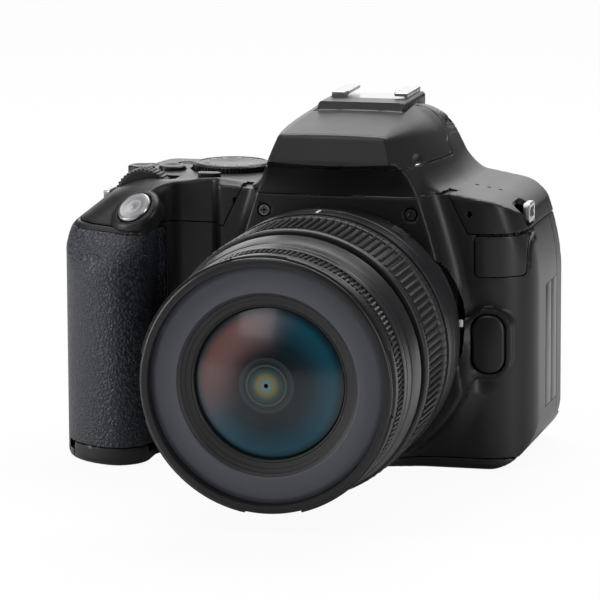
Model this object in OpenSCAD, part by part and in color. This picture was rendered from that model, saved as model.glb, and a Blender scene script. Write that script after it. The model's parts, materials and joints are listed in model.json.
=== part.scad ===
/* [Body] */
// Distance from the lens axis to the outer side of the grip
grip_side = 73.9; // [70:0.1:92]
// Distance from the lens axis to the port side
port_side = 48.4; // [46:0.1:60]
// Height of the top of the hot shoe above the base
total_h = 92.6; // [90:0.1:98]
// How far the grip reaches in front of the tripod socket
grip_front = 42; // [40:0.1:52]
// Thickness of the cover walls
wall = 2.2; // [1.8:0.1:3]
// Thickness of the rubber skins
rubber_t = 1; // [0.8:0.1:1.2]
// Height of the bottom cover plate
base_t = 3; // [2.5:0.1:4]

/* [Lens] */
// Height of the lens axis above the base
lens_z = 36; // [35:0.1:38]
// Radius of the zoom ring
zoom_r = 34; // [31:0.1:38]
// Radius of the moving front barrel
barrel_r = 31.7; // [30.5:0.1:32.2]
// Nominal filter thread radius
filter_r = 29; // [27.5:0.5:29.2]
// How far the front rim stands in front of the tripod socket
rim_front = 107; // [100:0.5:125]

/* [Controls] */
// Radius of the mode dial
mode_r = 10.5; // [8.5:0.1:11]
// Radius of the main dial
main_r = 8; // [6.5:0.1:9.2]
// Radius of the shutter button
shutter_r = 4.7; // [3.8:0.1:5.8]
// Radial running clearance of dials, pins and rings
fit = 0.05; // [0.02:0.01:0.1]
// Clearance round buttons, doors and covers that move
gap = 0.3; // [0.2:0.05:0.4]

/* [Screen] */
// Width of the swing-out screen
screen_w = 78; // [65:0.5:80]
// Height of the swing-out screen
screen_h = 55.5; // [46:0.5:56]
// Thickness of the swing-out screen
screen_t = 6.2; // [5:0.1:6.6]

/* [Power] */
// Battery thickness, depth and height
battery = [14, 33, 49.4]; // [12:0.1:50]
// Memory card thickness, depth and height
card = [2.1, 24, 32]; // [2:0.1:33]

/* [Hidden] */
$fn = 48;
big = 300;
eps = 0.01;

// Depths along the viewing direction, front is -y
front_y = -25;
bezel_y = -33;
flange_y = -34;
valley_y = -20;
rear_y = 22;
cup_y = 27.8;
sensor_y = 10;
split_y = 11;
split_z = 61;
seam_z = 69;
eye_half = 19;
eye_top = 87;
deck_l = 70.4;
arc_steps = 5;

// Outlines as corners [x, y, radius], counter-clockwise
plan = [[port_side, front_y, 13], [port_side, rear_y, 5], [-grip_side, rear_y, 9],
    [-grip_side, -grip_front, 14], [-50, -grip_front, 8], [-46.5, valley_y, 6], [-33.6, valley_y, 0],
    [-32, front_y, 0]];
face = [[port_side, 0, 6], [port_side, 68.7, 8], [30, 73.6, 12], [-36, 73.6, 10],
    [-grip_side + 11, 70.9, 6], [-grip_side, 63, 6], [-grip_side, 0, 5]];
side = [[-grip_front - 1, 0, 3], [rear_y, 0, 2], [rear_y, deck_l, 2.5], [-12, deck_l, 8],
    [-19, 72.5, 3], [-grip_front - 1, 57.5, 5]];
hump_face = [[31, 62, 0], [28.3, 76, 12], [24.8, 84, 10], [19.5, 89.5, 2.5], [-19.5, 89.5, 2.5],
    [-24.8, 84, 10], [-28.3, 76, 12], [-31, 62, 0]];
hump_side = [[-30, 63, 0], [rear_y + 1.5, 63, 0], [rear_y + 1.5, 83.5, 3], [15, 89.5, 4], [-8, 89.5, 20],
    [-37.6, 86.8, 1.5], [-41, 80.6, 0.8], [-36, 76, 6], [-33, 70, 4]];
hump_plan = [[15, -42, 3], [31, -20, 10], [31, 4, 10], [20, 24, 4], [-20, 24, 4], [-31, 4, 10],
    [-31, -20, 10], [-15, -42, 3]];
bezel = [[28, lens_z - 31, 8], [34, lens_z - 4, 24], [32.5, lens_z + 14, 10], [23.3, lens_z + 36, 5],
    [-23.3, lens_z + 36, 5], [-31.5, lens_z + 14, 10], [-31.5, lens_z - 4, 24], [-28, lens_z - 31, 8]];

// Flash head hinge, its round rear end and the parting line below the head
hinge_y = 4;
hinge_z = 85;
hinge_r = 4.4;
flash_pin_r = 1.2;
swing_gap = 0.4; // extra room where the rising flash head passes the top cover
part_front_z = 80.6;
part_rear_z = 77.4;
shoe_half = 11.4;
shoe_y0 = -7.7;
shoe_y1 = 20;
shoe_z = 89.5;

// Places of the controls
mode_at = [-38, 7];
main_at = [-56.3, -12, 65.4];
main_w = 5.5;
axle_r = 1.5;
shutter_at = [-53.4, -32.2, 65.7];
shutter_turn = [0, 41.3, -116.6];
release_x = [33.6, 42];
release_z = [25.6, 40.6];
pin_at = [29.2, lens_z];
pin_r = 1.3;
door_x = [-71.5, -46.4];
door_y = [-34.5, 3];
door_t = 2;
door_axis = [door_x[1] - 0.2, 1.4];
door_pin_r = 0.7;
door_pin_l = 3;
latch_x = -70.3;
latch_travel = 2.2;
port_z = [13, 45];
port_y = [-4, 3.4, 10.8];
port_t = 1.8;
swing_at = [port_side - 4.4, rear_y - 0.3];
barrel_pin_r = 1.2;
knuckle_r = 3.2;
screen_x1 = swing_at.x - 3.8;
screen_x0 = screen_x1 - screen_w;
screen_z0 = 7.5;
screen_y1 = 24;
cup_z = 74;
pad_x = -56.5;
rear_button_t = 2.2;

// Lens stations along the axis
barrel_y = -55.5;
zoom_y = -79;
cone_y = -88;
rim_y = -rim_front;
throat_r = 26.9;
rear_r = 22;
element_r = zoom_r - 8.6;
name_y = rim_y + 2.7;
name_r = filter_r - 0.5;
tube_y = -65;

function xy(p) = [p[0], p[1]];
function unit(v) = v / norm(v);
function arc(o, r, a0, turn) = [for (i = [0:arc_steps]) o + r * [cos(a0 + turn * i / arc_steps),
    sin(a0 + turn * i / arc_steps)]];
function short_turn(d) = d > 180 ? d - 360 : d < -180 ? d + 360 : d;
function corner(p, c, q, r) =
    let(u = unit(p - c), v = unit(q - c), h = acos(u * v) / 2, o = c + unit(u + v) * r / sin(h))
    let(a = c + u * r / tan(h) - o, b = c + v * r / tan(h) - o, a0 = atan2(a.y, a.x))
    arc(o, r, a0, short_turn(atan2(b.y, b.x) - a0));
// Outline with its corners rounded by arcs
function rounded(pts) = let(n = len(pts)) [for (i = [0:n - 1]) each pts[i][2] == 0 ? [xy(pts[i])] :
    corner(xy(pts[(i + n - 1) % n]), xy(pts[i]), xy(pts[(i + 1) % n]), pts[i][2])];
// Outline moved inwards by d
function inset(pts, d) = let(n = len(pts)) [for (i = [0:n - 1])
    let(c = xy(pts[i]), a = unit(c - xy(pts[(i + n - 1) % n])), b = unit(xy(pts[(i + 1) % n]) - c))
    let(na = [-a.y, a.x], nb = [-b.y, b.x], m = c + d * (na + nb) / (1 + na * nb), r = pts[i][2])
    [m.x, m.y, r == 0 ? 0 : a.x * b.y - a.y * b.x > 0 ? max(r - d, 0.4) : r + d]];
// Toothed outline: n teeth between radii r - depth and r
function toothed(r, depth, n) = [for (i = [0:n - 1]) each [for (k = [0:3])
    (r - (k > 1 ? depth : 0)) * [cos(360 * (i + k / 4) / n), sin(360 * (i + k / 4) / n)]]];

module box(a, b) { translate(a) cube(b - a); }
// Extrusions of an outline along z, y and x
module up(z0, z1) { translate([0, 0, z0]) linear_extrude(z1 - z0) children(); }
module back(y0, y1) { translate([0, y1, 0]) rotate([90, 0, 0]) linear_extrude(y1 - y0) children(); }
module across(x0, x1) { translate([x0, 0, 0]) rotate([90, 0, 90]) linear_extrude(x1 - x0) children(); }
// Cylinders along y on the lens axis, along y anywhere and along x
module disc(r, y0, y1) { translate([0, y0, lens_z]) rotate([-90, 0, 0]) cylinder(r = r, h = y1 - y0, $fn = 96); }
module rod_y(p, r, y0, y1) { translate([p.x, y0, p.y]) rotate([-90, 0, 0]) cylinder(r = r, h = y1 - y0); }
module rod_x(p, r, x0, x1) { translate([x0, p.x, p.y]) rotate([0, 90, 0]) cylinder(r = r, h = x1 - x0); }
module rod_z(p, r, z0, z1) { translate([p.x, p.y, z0]) cylinder(r = r, h = z1 - z0); }
module ring(r1, r0, y0, y1) { difference() { disc(r1, y0, y1); disc(r0, y0 - 1, y1 + 1); } }
// Rounded bar lying in the xz plane, from y0 to y1
module pill(x, z, w, h, y0, y1, r = 1) {
    back(y0, y1) polygon(rounded([[x + w / 2, z - h / 2, r], [x + w / 2, z + h / 2, r],
        [x - w / 2, z + h / 2, r], [x - w / 2, z - h / 2, r]]));
}

// Outer shape of the body without its hump, moved inwards by t
module shape(t = 0) {
    intersection() {
        up(0, total_h) polygon(rounded(inset(plan, t)));
        back(-big, big) polygon(rounded(inset(face, t)));
        across(-big, big) polygon(rounded(inset(side, t)));
    }
}
module hump(t = 0) {
    intersection() {
        back(-big, big) polygon(rounded(inset(hump_face, t)));
        across(-big, big) polygon(rounded(inset(hump_side, t)));
        up(0, total_h) polygon(rounded(inset(hump_plan, t)));
    }
}
module grip_zone() { box([-big, -big, 4.6], [-48.2, split_y - 3, 59.6]); }
module thumb_zone() { box([-big, split_y + 1, 40], [-47, big, 62]); }
module rubber_zone(t) {
    difference() {
        shape(-eps);
        shape(t);
    }
}
// Room that the flash head takes, wider by g
module flash_room(g = 0) {
    difference() {
        union() {
            across(-big, big) polygon([[-60, part_front_z - g], [hinge_y, part_rear_z - g], [hinge_y, total_h],
                [-60, total_h]]);
            rod_x([hinge_y, hinge_z], hinge_r + g, -big, big);
        }
        box([-shoe_half - gap + g, shoe_y0 - 1 + g, 0], [shoe_half + gap - g, big, big]);
    }
}
module shutter_axis() { translate(shutter_at) rotate(shutter_turn) children(); }

module front_cover() {
    color("#26282b") difference() {
        union() {
            difference() {
                union() {
                    difference() {
                        shape();
                        shape(wall);
                    }
                    intersection() {
                        shape();
                        shutter_axis() translate([0, 0, -8.2]) cylinder(r = shutter_r + 1.6, h = 1.6);
                    }
                }
                box([-big, -big, split_z], [big, big, big]);
            }
            bezel_block();
        }
        shutter_axis() translate([0, 0, -6.6]) cylinder(r = shutter_r + gap, h = 20);
        box([-big, split_y, -1], [big, big, big]);
        box([-big, -big, -1], [big, big, base_t]);
        intersection() { grip_zone(); rubber_zone(rubber_t); }
        disc(31.5 + gap, bezel_y - 1, flange_y + 2.5);
        disc(28.5, bezel_y - 2, front_y + 10);
        for (x = [-19.06, 19.06]) rod_y([x, 66.7], 1.7, bezel_y - 1, bezel_y + 0.7);
        release_recess();
        rod_y(pin_at, pin_r + fit, bezel_y, -10);
        box([port_side - port_t - gap, port_y[0] - gap, port_z[0] - gap],
            [big, port_y[2] + gap, port_z[1] + gap]);
        box([33.6, front_y - 5, 49.8], [47.2, front_y + 0.7, 60.6]);
        rod_y([-28.8, 58], 0.6, bezel_y - 1, -20);
    }
}
module bezel_block(g = 0) { back(bezel_y, front_y + wall) polygon(rounded(inset(bezel, -g))); }
module release_recess() {
    pill(40.4, 33.2, 14.6, 22, front_y - 3, front_y + 0.9, 5);
    pill((release_x[0] + release_x[1]) / 2, (release_z[0] + release_z[1]) / 2,
        release_x[1] - release_x[0] + 2 * gap, release_z[1] - release_z[0] + 2 * gap, front_y - 3, 0, 4);
}
module rear_cover() {
    color("#232527") difference() {
        union() {
            difference() {
                union() {
                    shape();
                    intersection() { hump(); box([-eye_half, split_y, 60], [eye_half, big, eye_top]); }
                }
                intersection() {
                    shape(wall);
                    union() {
                        box([-big, -big, -1], [big, screen_y1 - screen_t - gap - wall, big]);
                        box([-big, -big, -1], [screen_x0 - wall, big, big]);
                        box([-32, -big, screen_z0 + screen_h + wall], [34, big, big]);
                    }
                }
                hump(wall);
            }
            for (x = [-36, -8, 30]) rod_y([x, 12], 2, 14.2 + eps, 16);
        }
        box([-big, -big, -1], [big, split_y, big]);
        box([-big, -big, -1], [big, big, base_t]);
        for (s = [-1, 1]) box([s > 0 ? eye_half : -big, -big, seam_z], [s > 0 ? big : -eye_half, big, big]);
        screen_room();
        intersection() { thumb_zone(); rubber_zone(rubber_t); }
        pill(0, cup_z + 0.4, 24, 15, 10, 40, 2);
        for (b = rear_buttons) pill(b[1], b[2], b[3] + 2 * gap, b[4] + 2 * gap, 8, 40, b[5]);
        rod_y([pad_x, 24], 9 + gap, 8, 40);
        rod_x([16.5, 80.5], 4 + gap, 13.4, 60);
        top_button_holes();
    }
    color("#232527") for (z = [[screen_z0 - 2, 25.7], [48.3, screen_z0 + screen_h + 2]]) difference() {
        union() {
            rod_z(swing_at, knuckle_r - 0.2, z[0], z[1]);
            box([swing_at.x - 1.8, 14, z[0]], [swing_at.x + 1.8, swing_at.y, z[1]]);
        }
        rod_z(swing_at, barrel_pin_r + fit, 23, 51);
    }
}
// Room for the screen, its knuckle and their swing
module screen_room() {
    box([screen_x0 - gap, screen_y1 - screen_t - gap, screen_z0 - gap],
        [swing_at.x, big, screen_z0 + screen_h + gap]);
    rod_z(swing_at, 6, screen_z0 - gap, screen_z0 + screen_h + gap);
}
module top_cover() {
    color("#26282b") difference() {
        union() {
            difference() {
                union() { shape(); hump(); }
                shape(wall);
                hump(wall);
            }
            intersection() {
                hump();
                across(-31, 31) polygon([[-40, part_front_z - 2.3], [hinge_y + 5, part_rear_z - 2.3],
                    [hinge_y + 5, part_rear_z], [-40, part_front_z]]);
            }
            box([-shoe_half, shoe_y0, 78], [shoe_half, shoe_y1, shoe_z]);
            shoe_block();
            intersection() {
                shape();
                union() {
                    box([main_at.x - 5, main_at.y - main_w / 2 - 4, 60], [main_at.x + 5, main_at.y - main_w / 2 - gap, 72]);
                    box([main_at.x - 5, main_at.y + main_w / 2 + gap, 60], [main_at.x + 5, main_at.y + main_w / 2 + 4, 72]);
                    rod_z(mode_at, 4.5, deck_l - 6, deck_l - 1);
                }
            }
        }
        box([-big, split_y, -1], [big, big, seam_z]);
        box([-eye_half, split_y, 0], [eye_half, big, eye_top]);
        box([-big, -big, -1], [big, big, split_z]);
        flash_room(gap);
        box([-shoe_half - gap, shoe_y0 - 1, hinge_z], [shoe_half + gap, shoe_y0 - 1 + gap + swing_gap, big]);
        for (s = [-1, 1]) rod_x([hinge_y, hinge_z], hinge_r + gap + swing_gap, s > 0 ? shoe_half : -big,
            s > 0 ? big : -shoe_half);
        bezel_block(eps);
        disc(31.5 + gap, bezel_y - 3, bezel_y + 4);
        box([-8, shoe_y0 + 2, 70], [8, shoe_y1 - 3, shoe_z - 2.2]);
        rod_z(mode_at, mode_r + gap, deck_l - 0.6, 90);
        rod_z(mode_at, 2 + fit, 60, 90);
        rod_y([main_at.x, main_at.z], main_r + 0.5, main_at.y - main_w / 2 - gap, main_at.y + main_w / 2 + gap);
        rod_y([main_at.x, main_at.z], axle_r, main_at.y - 12, main_at.y + 12);
        shutter_axis() translate([0, 0, -6]) cylinder(r = shutter_r + gap, h = 20);
        shutter_axis() translate([0, 0, -1.4]) cylinder(r = shutter_r + 1.3, h = 20);
        top_button_holes();
        for (s = [-1, 1]) lug_room(s);
        for (x = [30.4, 33.5, 36.6]) rod_z([x, -5], 0.5, 60, 90);
        for (x = [-22, 22]) rod_y([x, 69.4], 0.6, -40, -20);
        rod_x([16.5, 80.5], 4 + gap, 13.4, 60);
    }
    color("#26282b") for (s = [-1, 1]) rod_x([hinge_y, hinge_z], flash_pin_r, s > 0 ? shoe_half - eps : -18,
        s > 0 ? 18 : -shoe_half + eps);
}
// Raised block that carries the hot shoe rails
module shoe_block() {
    box([-shoe_half, shoe_y0, shoe_z - 3], [shoe_half, shoe_y0 + 4, shoe_z + 0.2]);
    box([-10.2, shoe_y0 + 1, shoe_z - 3], [10.2, shoe_y1, shoe_z + 0.4]);
}
module top_button_holes() {
    rod_z([-61, 0.5], 3.6 + gap, 60, 90);
    rod_z([-53, 2], 3.6 + gap, 60, 90);
    rod_z([-39.5, -8.6], 1.1 + fit, 60, 90);
    for (p = [[-52, 13.6], [-62.5, 13.6]]) rod_z(p, 2.4 + gap, 58, 90);
}
module lug_room(s) {
    x = s > 0 ? port_side - 6 : -grip_side + 6;
    box([s > 0 ? x : -big, -16, 62], [s > 0 ? big : x, -4, 68.4]);
}
module bottom_cover() {
    color("#1d1f21") difference() {
        intersection() { shape(); box([-big, -big, 0], [big, big, base_t]); }
        box([door_x[0] - gap, door_y[0] - gap, -1], [door_x[1] + 1.6, door_y[1] + gap, base_t + 1]);
        rod_z([0, 0], 5, -1, 10);
        for (p = base_screws) rod_z(p, 1.7, -1, 1);
        for (p = base_screws) rod_z(p, 1, -1, 10);
    }
    color("#1d1f21") for (y = [door_y[0] - gap - eps, door_y[1] + gap + eps - door_pin_l])
        rod_y(door_axis, door_pin_r, y, y + door_pin_l);
}
base_screws = [[-38, -14], [-38, 14], [26, -18], [40, 12], [14, 15]];
module grip_rubber() {
    color("#2b2f36") intersection() {
        rubber_zone(rubber_t);
        union() { grip_zone(); thumb_zone(); }
    }
}
module mount_ring() {
    color("#c9cbcd") difference() {
        ring(31.5, throat_r, flange_y, flange_y + 2.5);
        for (a = [45:90:315]) mount_screw_at(a) cylinder(r = 1.4, h = 6, center = true);
        rod_y(pin_at, pin_r + fit, -40, -20);
    }
}
module mount_screw_at(a) { translate([29.3 * cos(a), flange_y, lens_z + 29.3 * sin(a)]) rotate([-90, 0, 0]) children(); }
// Cross-head screw, its head's face at the origin and its shank along z
module screw(r, head, l) {
    difference() {
        union() {
            cylinder(r = r, h = head);
            cylinder(r = r * 0.55, h = l);
        }
        for (a = [0, 90]) rotate(a) translate([0, 0, head / 4]) cube([r * 1.3, r * 0.3, head], center = true);
    }
}
module screws() {
    color("#8d9094") {
        for (a = [45:90:315]) mount_screw_at(a) screw(1.35, 0.8, 2.4);
        for (x = [-19.06, 19.06]) translate([x, bezel_y, 66.7]) rotate([-90, 0, 0]) screw(1.6, 0.7, 0.7);
        for (p = base_screws) translate([p.x, p.y, 0.15]) screw(1.6, 0.85, base_t - 0.3);
    }
}
module mirror_box() {
    color("#17181a") difference() {
        union() {
            box([-22, front_y + wall, 16], [22, 3, 57]);
            intersection() { box([-20, -28.7, 16], [20, 0, 56]); disc(28.2, -31, 0); }
            box([-29, front_y + wall, 18], [29, -20.6, 54]);
            rod_z([0, 0], 7, 5.4, 17);
        }
        box([-19, -31, 20], [19, 4, 54]);
        box([-14, -22.8, 50], [14, 2.5, 60]);
        rod_z([0, 0], 5, 0, 10);
        rod_y(pin_at, pin_r + 1, -40, -10);
        rod_x([0.5, 51], 0.9 + fit, -20.5, 20.5);
        rod_y([pin_at.x, pin_at.y], 3, -25, -10);
    }
}
module finder_optics() {
    color("#9fb4bf") {
        box([-13.7, -22.5, 54.5], [13.7, 2.2, 56]);
        across(-14, 14) polygon([[-22, 57], [10.5, 57], [10.5, 66], [4, 74], [-13, 74], [-22, 64]]);
        box([-12, 10.8, 66.5], [12, 12, 73.8]);
    }
}
module eyepiece_lens() { color("#8fa6ad") pill(0, cup_z + 0.2, 27, 16, 16.6, rear_y + 1.5 - wall, 2); }
module eyecup() {
    color("#161718") difference() {
        pill(0, cup_z + 0.2, 37, 20, rear_y + 1.5, cup_y, 7);
        pill(0, cup_z, 22, 14, rear_y, cup_y + 1, 3);
        rod_x([16.5, 80.5], 4 + gap, 13.4, 60);
    }
}
module shutter_unit() {
    color("#3a3d40") {
        difference() {
            box([-21, 3, 18], [21, 6, 56]);
            box([-12.5, 2, lens_z - 8.5], [12.5, 7, lens_z + 8.5]);
            box([-18, 4, lens_z - 9.5], [18, 5, lens_z + 9.5]);
        }
        for (i = [0:3]) box([-17.5, 4.1 + 0.2 * i, lens_z - 9.2 + 4.6 * i], [17.5, 4.25 + 0.2 * i, lens_z - 4.7 + 4.6 * i]);
    }
}
module image_sensor() {
    color("#31443d") {
        box([-15, 6, lens_z - 11], [15, 8.6, lens_z + 11]);
        box([-11.2, 8.6, lens_z - 7.5], [11.2, sensor_y, lens_z + 7.5]);
        box([-18, sensor_y, lens_z - 14], [18, 12.4, lens_z + 14]);
    }
}
module main_board() {
    color("#1f5136") difference() {
        union() {
            box([-40, 12.4, 8], [38, 14.2, 58]);
            box([18.5, 9.4, 20], [30, 12.4, 32]);
            box([-34, 9.8, 18], [-22, 12.4, 30]);
        }
        for (b = rear_buttons) pill(b[1], b[2], b[3] + 2, b[4] + 2, 8, 40, b[5]);
    }
}
module tripod_socket() {
    color("#a8abad") difference() {
        union() {
            rod_z([0, 0], 5 - eps, 0, 9.9);
            rod_z([0, 0], 8, base_t, 5.3);
        }
        rod_z([0, 0], 3.175, -1, 7.5);
    }
}
module battery_room(g) {
    box([-68.2 - g, -34.6 - g, base_t + 0.2], [-68.2 + battery.x + g, -34.6 + battery.y + g, base_t + 0.2 + battery.z + g]);
}
module card_room(g) {
    x = -68.2 + battery.x + 2.2;
    box([x - g, -18 - g, base_t + 1], [x + card.x + g, -18 + card.y + g, base_t + 1 + card.z + g]);
}
module battery_box() {
    color("#141516") intersection() {
        difference() {
            union() { battery_room(1.4); card_room(1.2); }
            battery_room(0.4);
            card_room(0.3);
            box([-big, -big, -big], [big, big, base_t + 0.2]);
            translate([0, 0, -2]) {
                battery_room(0.4);
                card_room(0.3);
            }
        }
        shape(wall + 0.1);
    }
}
module battery() { color("#2e3033") battery_room(0); }
module memory_card() { color("#20344f") card_room(0); }
module shoe_rails() {
    color("#c4c6c8") difference() {
        box([-10.2, shoe_y0 + 4.2, shoe_z + 0.4], [10.2, shoe_y1 - 1, total_h]);
        box([-9.3, shoe_y0 + 3, shoe_z + 1.1], [9.3, shoe_y1, total_h - 0.9]);
        box([-6.1, shoe_y0 + 3, shoe_z + 1], [6.1, shoe_y1, big]);
    }
}
module dial_axle() {
    color("#b4b6b8") rod_y([main_at.x, main_at.z], axle_r, main_at.y - main_w / 2 - 3, main_at.y + main_w / 2 + 3);
}
module strap_lugs() {
    color("#b9bbbd") for (s = [-1, 1]) {
        x = s > 0 ? port_side - 6 : -grip_side + 6;
        difference() {
            box([min(x, x + s * 5.4), -14, 62], [max(x, x + s * 5.4), -6, 64.6]);
            box([min(x + s * 2.2, x + s * 4.2), -13, 60], [max(x + s * 2.2, x + s * 4.2), -7, 70]);
        }
    }
}
module name_plate() { color("#2b2d30") pill(40.4, 55.2, 13.2, 10.4, front_y - 0.1, front_y + 0.7, 1.2); }
module side_ports() {
    x = port_side - port_t - 1.2;
    color("#55585b") for (p = [[port_y[0] + 3.4, 20, 2.6], [port_y[0] + 3.4, 31, 2.6]]) difference() {
        rod_x([p[0], p[1]], p[2], x - 9, x);
        rod_x([p[0], p[1]], p[2] - 0.85, x - 7, x + 1);
    }
    color("#55585b") for (z = [[17, 27], [31, 39]]) difference() {
        box([x - 9, port_y[1] + 1.4, z[0]], [x, port_y[2] - 1.4, z[1]]);
        box([x - 6, port_y[1] + 2.2, z[0] + 0.8], [x + 1, port_y[2] - 2.2, z[1] - 0.8]);
    }
    color("#3f4245") box([x - 11.5, port_y[0], 15], [x - 9, port_y[2], 43]);
}
// Lens
module lens_bayonet() {
    color("#c9cbcd") difference() {
        union() {
            disc(31.8, flange_y - 1.6, flange_y);
            disc(throat_r - 0.3, flange_y - eps, flange_y + 5);
        }
        disc(22, -60, -20);
        rod_y(pin_at, pin_r + fit, flange_y - 1.2, flange_y + 1);
    }
}
module lens_barrel() {
    color("#1f2123") {
        difference() {
            union() {
                translate([0, barrel_y, lens_z]) rotate([-90, 0, 0])
                    cylinder(r1 = zoom_r, r2 = zoom_r - 1.2, h = flange_y - 1.6 - barrel_y, $fn = 96);
                disc(zoom_r - 2 - fit, zoom_y + 1, barrel_y + 1);
            }
            disc(zoom_r - 6, zoom_y - 1, -42);
            disc(rear_r, -60, -20);
            switch_room(gap);
        }
    }
}
switch_turn = 34;
module switch_place() { translate([0, barrel_y + 9, lens_z]) rotate([0, switch_turn, 0]) children(); }
module switch_room(g) { switch_place() translate([0, 0, zoom_r - 1.5]) cube([5 + 2 * g, 9 + 2 * g, 3 + 2 * g], center = true); }
module mode_switch() {
    color("#2f3133") switch_place() {
        translate([0, 1.5, zoom_r - 1.5]) cube([5, 6, 2.4], center = true);
        for (i = [-1:1]) translate([0, 1.5 + 1.6 * i, zoom_r - 0.1]) cube([4.4, 0.8, 0.8], center = true);
    }
}
module aperture_unit() {
    color("#101112") difference() {
        disc(zoom_r - 6 - fit, -62, -57);
        disc(9, -63, -56);
    }
}
module rear_element() {
    color("#7f97a3") intersection() {
        disc(rear_r - fit, -44, -34);
        translate([0, -44 + 60, lens_z]) sphere(r = 60, $fn = 240);
        translate([0, -34 - 60, lens_z]) sphere(r = 60, $fn = 240);
    }
}
module zoom_ring() {
    color("#1b1c1e") difference() {
        translate([0, barrel_y - gap, lens_z]) rotate([90, 0, 0])
            linear_extrude(barrel_y - gap - zoom_y) polygon(toothed(zoom_r - 0.2, 0.7, 60));
        disc(zoom_r - 2, zoom_y - 1, barrel_y + 1);
    }
}
module inner_barrel() {
    color("#232527") difference() {
        union() {
            disc(barrel_r - 0.6, rim_y, -101);
            disc(barrel_r - 2.2, -102, cone_y + 3);
            disc(barrel_r, -95.4, cone_y + 3);
            disc(zoom_r - 6.4, cone_y + 2, tube_y);
        }
        disc(filter_r, rim_y - 1, name_y);
        disc(name_r, name_y - 1, name_y + 1.6);
        disc(element_r, rim_y + 4, -60);
    }
}
module focus_ring() {
    color("#1d1f21") difference() {
        translate([0, -95.7, lens_z]) rotate([90, 0, 0])
            linear_extrude(5) polygon(toothed(barrel_r, 0.5, 90));
        disc(barrel_r - 2.2 + fit, -110, -90);
    }
}
module name_ring() {
    color("#4b4e57") ring(name_r - fit, 22.5, name_y, name_y + 1.6);
}
module front_element() {
    color("#22282c") intersection() {
        disc(element_r - fit, name_y + 0.5, name_y + 10);
        translate([0, name_y + 50.3, lens_z]) sphere(r = 50, $fn = 96);
    }
}
// Moving parts of the body
module reflex_mirror() {
    color("#9aa0a5") {
        translate([0, 0.5, 51]) rotate([45, 0, 0]) translate([-13, -27, -0.8]) cube([26, 26.6, 1.4]);
        rod_x([0.5, 51], 0.9, -20.3, 20.3);
    }
}
module dioptre_knob() {
    color("#1b1c1e") translate([13.6, 16.5, 80.5]) rotate([90, 0, 90]) linear_extrude(4.4) polygon(toothed(4, 0.4, 24));
}
module battery_door() {
    color("#1d1f21") {
        difference() {
            union() {
                box([door_x[0], door_y[0], 0], [door_x[1] - 1.2, door_y[1], door_t]);
                rod_y(door_axis, 1.35, door_y[0], door_y[1]);
                box([door_x[1] - 1.3, door_y[0], 0.6], [door_axis.x, door_y[1], door_t]);
            }
            rod_y(door_axis, door_pin_r + fit, door_y[0] - 1, door_y[1] + 1);
            box([latch_x - gap, -21 - gap, -1], [latch_x + 4 + latch_travel + gap, -13 + gap, 3]);
        }
    }
}
module battery_latch() { color("#2b2d30") box([latch_x, -21, 0], [latch_x + 4, -13, door_t]); }
module flash_head() {
    color("#26282b") difference() {
        union() {
            difference() {
                intersection() { hump(); flash_room(); }
                difference() { hump(1.8); box([-big, hinge_y - 5, 0], [big, big, big]); }
            }
            intersection() { hump(0.5); flash_room(); box([-14.5, -37.5, 81.4], [14.5, -24, big]); }
        }
        rod_x([hinge_y, hinge_z], flash_pin_r + fit, -18.5, 18.5);
        box([-12.6, -36.1, 60], [12.6, -26, 82.6]);
        for (s = [-1, 1]) rod_z([s * 21.5, -26], 3, part_rear_z - 1, part_front_z + 0.6);
    }
}
module flash_window() { color("#dfe4e8") box([-12.5, -36, part_front_z + 0.2], [12.5, -26.1, 82.6]); }
module mode_dial() {
    color("#1a1b1d") {
        up(deck_l - 0.3, deck_l + 2.6) translate(mode_at) polygon(toothed(mode_r, 0.35, 60));
        rod_z(mode_at, 2, deck_l - 5, deck_l);
    }
}
module power_lever() {
    color("#303336") {
        up(deck_l + 0.3, deck_l + 1.8) polygon(rounded([[-42.5, -11, 1.3], [-37, -10.6, 1.7], [-37, -6.6, 1.7],
            [-43.5, -7.5, 1.3]]));
        rod_z([-39.5, -8.6], 1.1, deck_l - 3, deck_l + 0.4);
    }
}
module main_dial() {
    color("#191a1c") difference() {
        translate([main_at.x, main_at.y + main_w / 2, main_at.z]) rotate([90, 0, 0])
            linear_extrude(main_w) polygon(toothed(main_r, 0.35, 40));
        rod_y([main_at.x, main_at.z], axle_r + fit, -40, 10);
    }
}
module shutter_button() {
    color("#a9acaf") shutter_axis() {
        cylinder(r = shutter_r, h = 1.2);
        translate([0, 0, -5.1]) cylinder(r = shutter_r - 1.4, h = 5.6);
    }
}
module round_top_button(p, z) {
    rod_z(p, 3.6, z - 3.4, z);
}
module iso_button() { color("#222426") round_top_button([-61, 0.5], deck_l + 1.8); }
module disp_button() { color("#222426") round_top_button([-53, 2], deck_l + 1.8); }
module release_button() {
    color("#242629") pill((release_x[0] + release_x[1]) / 2, (release_z[0] + release_z[1]) / 2,
        release_x[1] - release_x[0], release_z[1] - release_z[0], front_y - 2.2, front_y + 2.6, 3.9);
}
module lock_pin() {
    color("#c0c2c4") rod_y(pin_at, pin_r, flange_y - 1, -21.5);
}
module port_door(y0, y1) {
    difference() {
        intersection() {
            box([port_side - port_t, y0 + gap / 2, port_z[0]], [big, y1 - gap / 2, port_z[1]]);
            shape();
        }
        rod_z([port_side - port_t + 0.9, y0 < 0 ? y0 + 1 : y1 - 1], 0.3, 0, 60);
    }
}
module port_door_front() { color("#202224") port_door(port_y[0], port_y[1]); }
module port_door_rear() { color("#202224") port_door(port_y[1], port_y[2]); }
module screen_hinge() {
    color("#2a2c2f") {
        rod_z(swing_at, knuckle_r - 0.2, 26, 48);
        rod_z(swing_at, barrel_pin_r, 23.5, 50.5);
        box([screen_x1, swing_at.y - 2, 28], [swing_at.x, swing_at.y + 1.8, 46]);
    }
}
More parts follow.
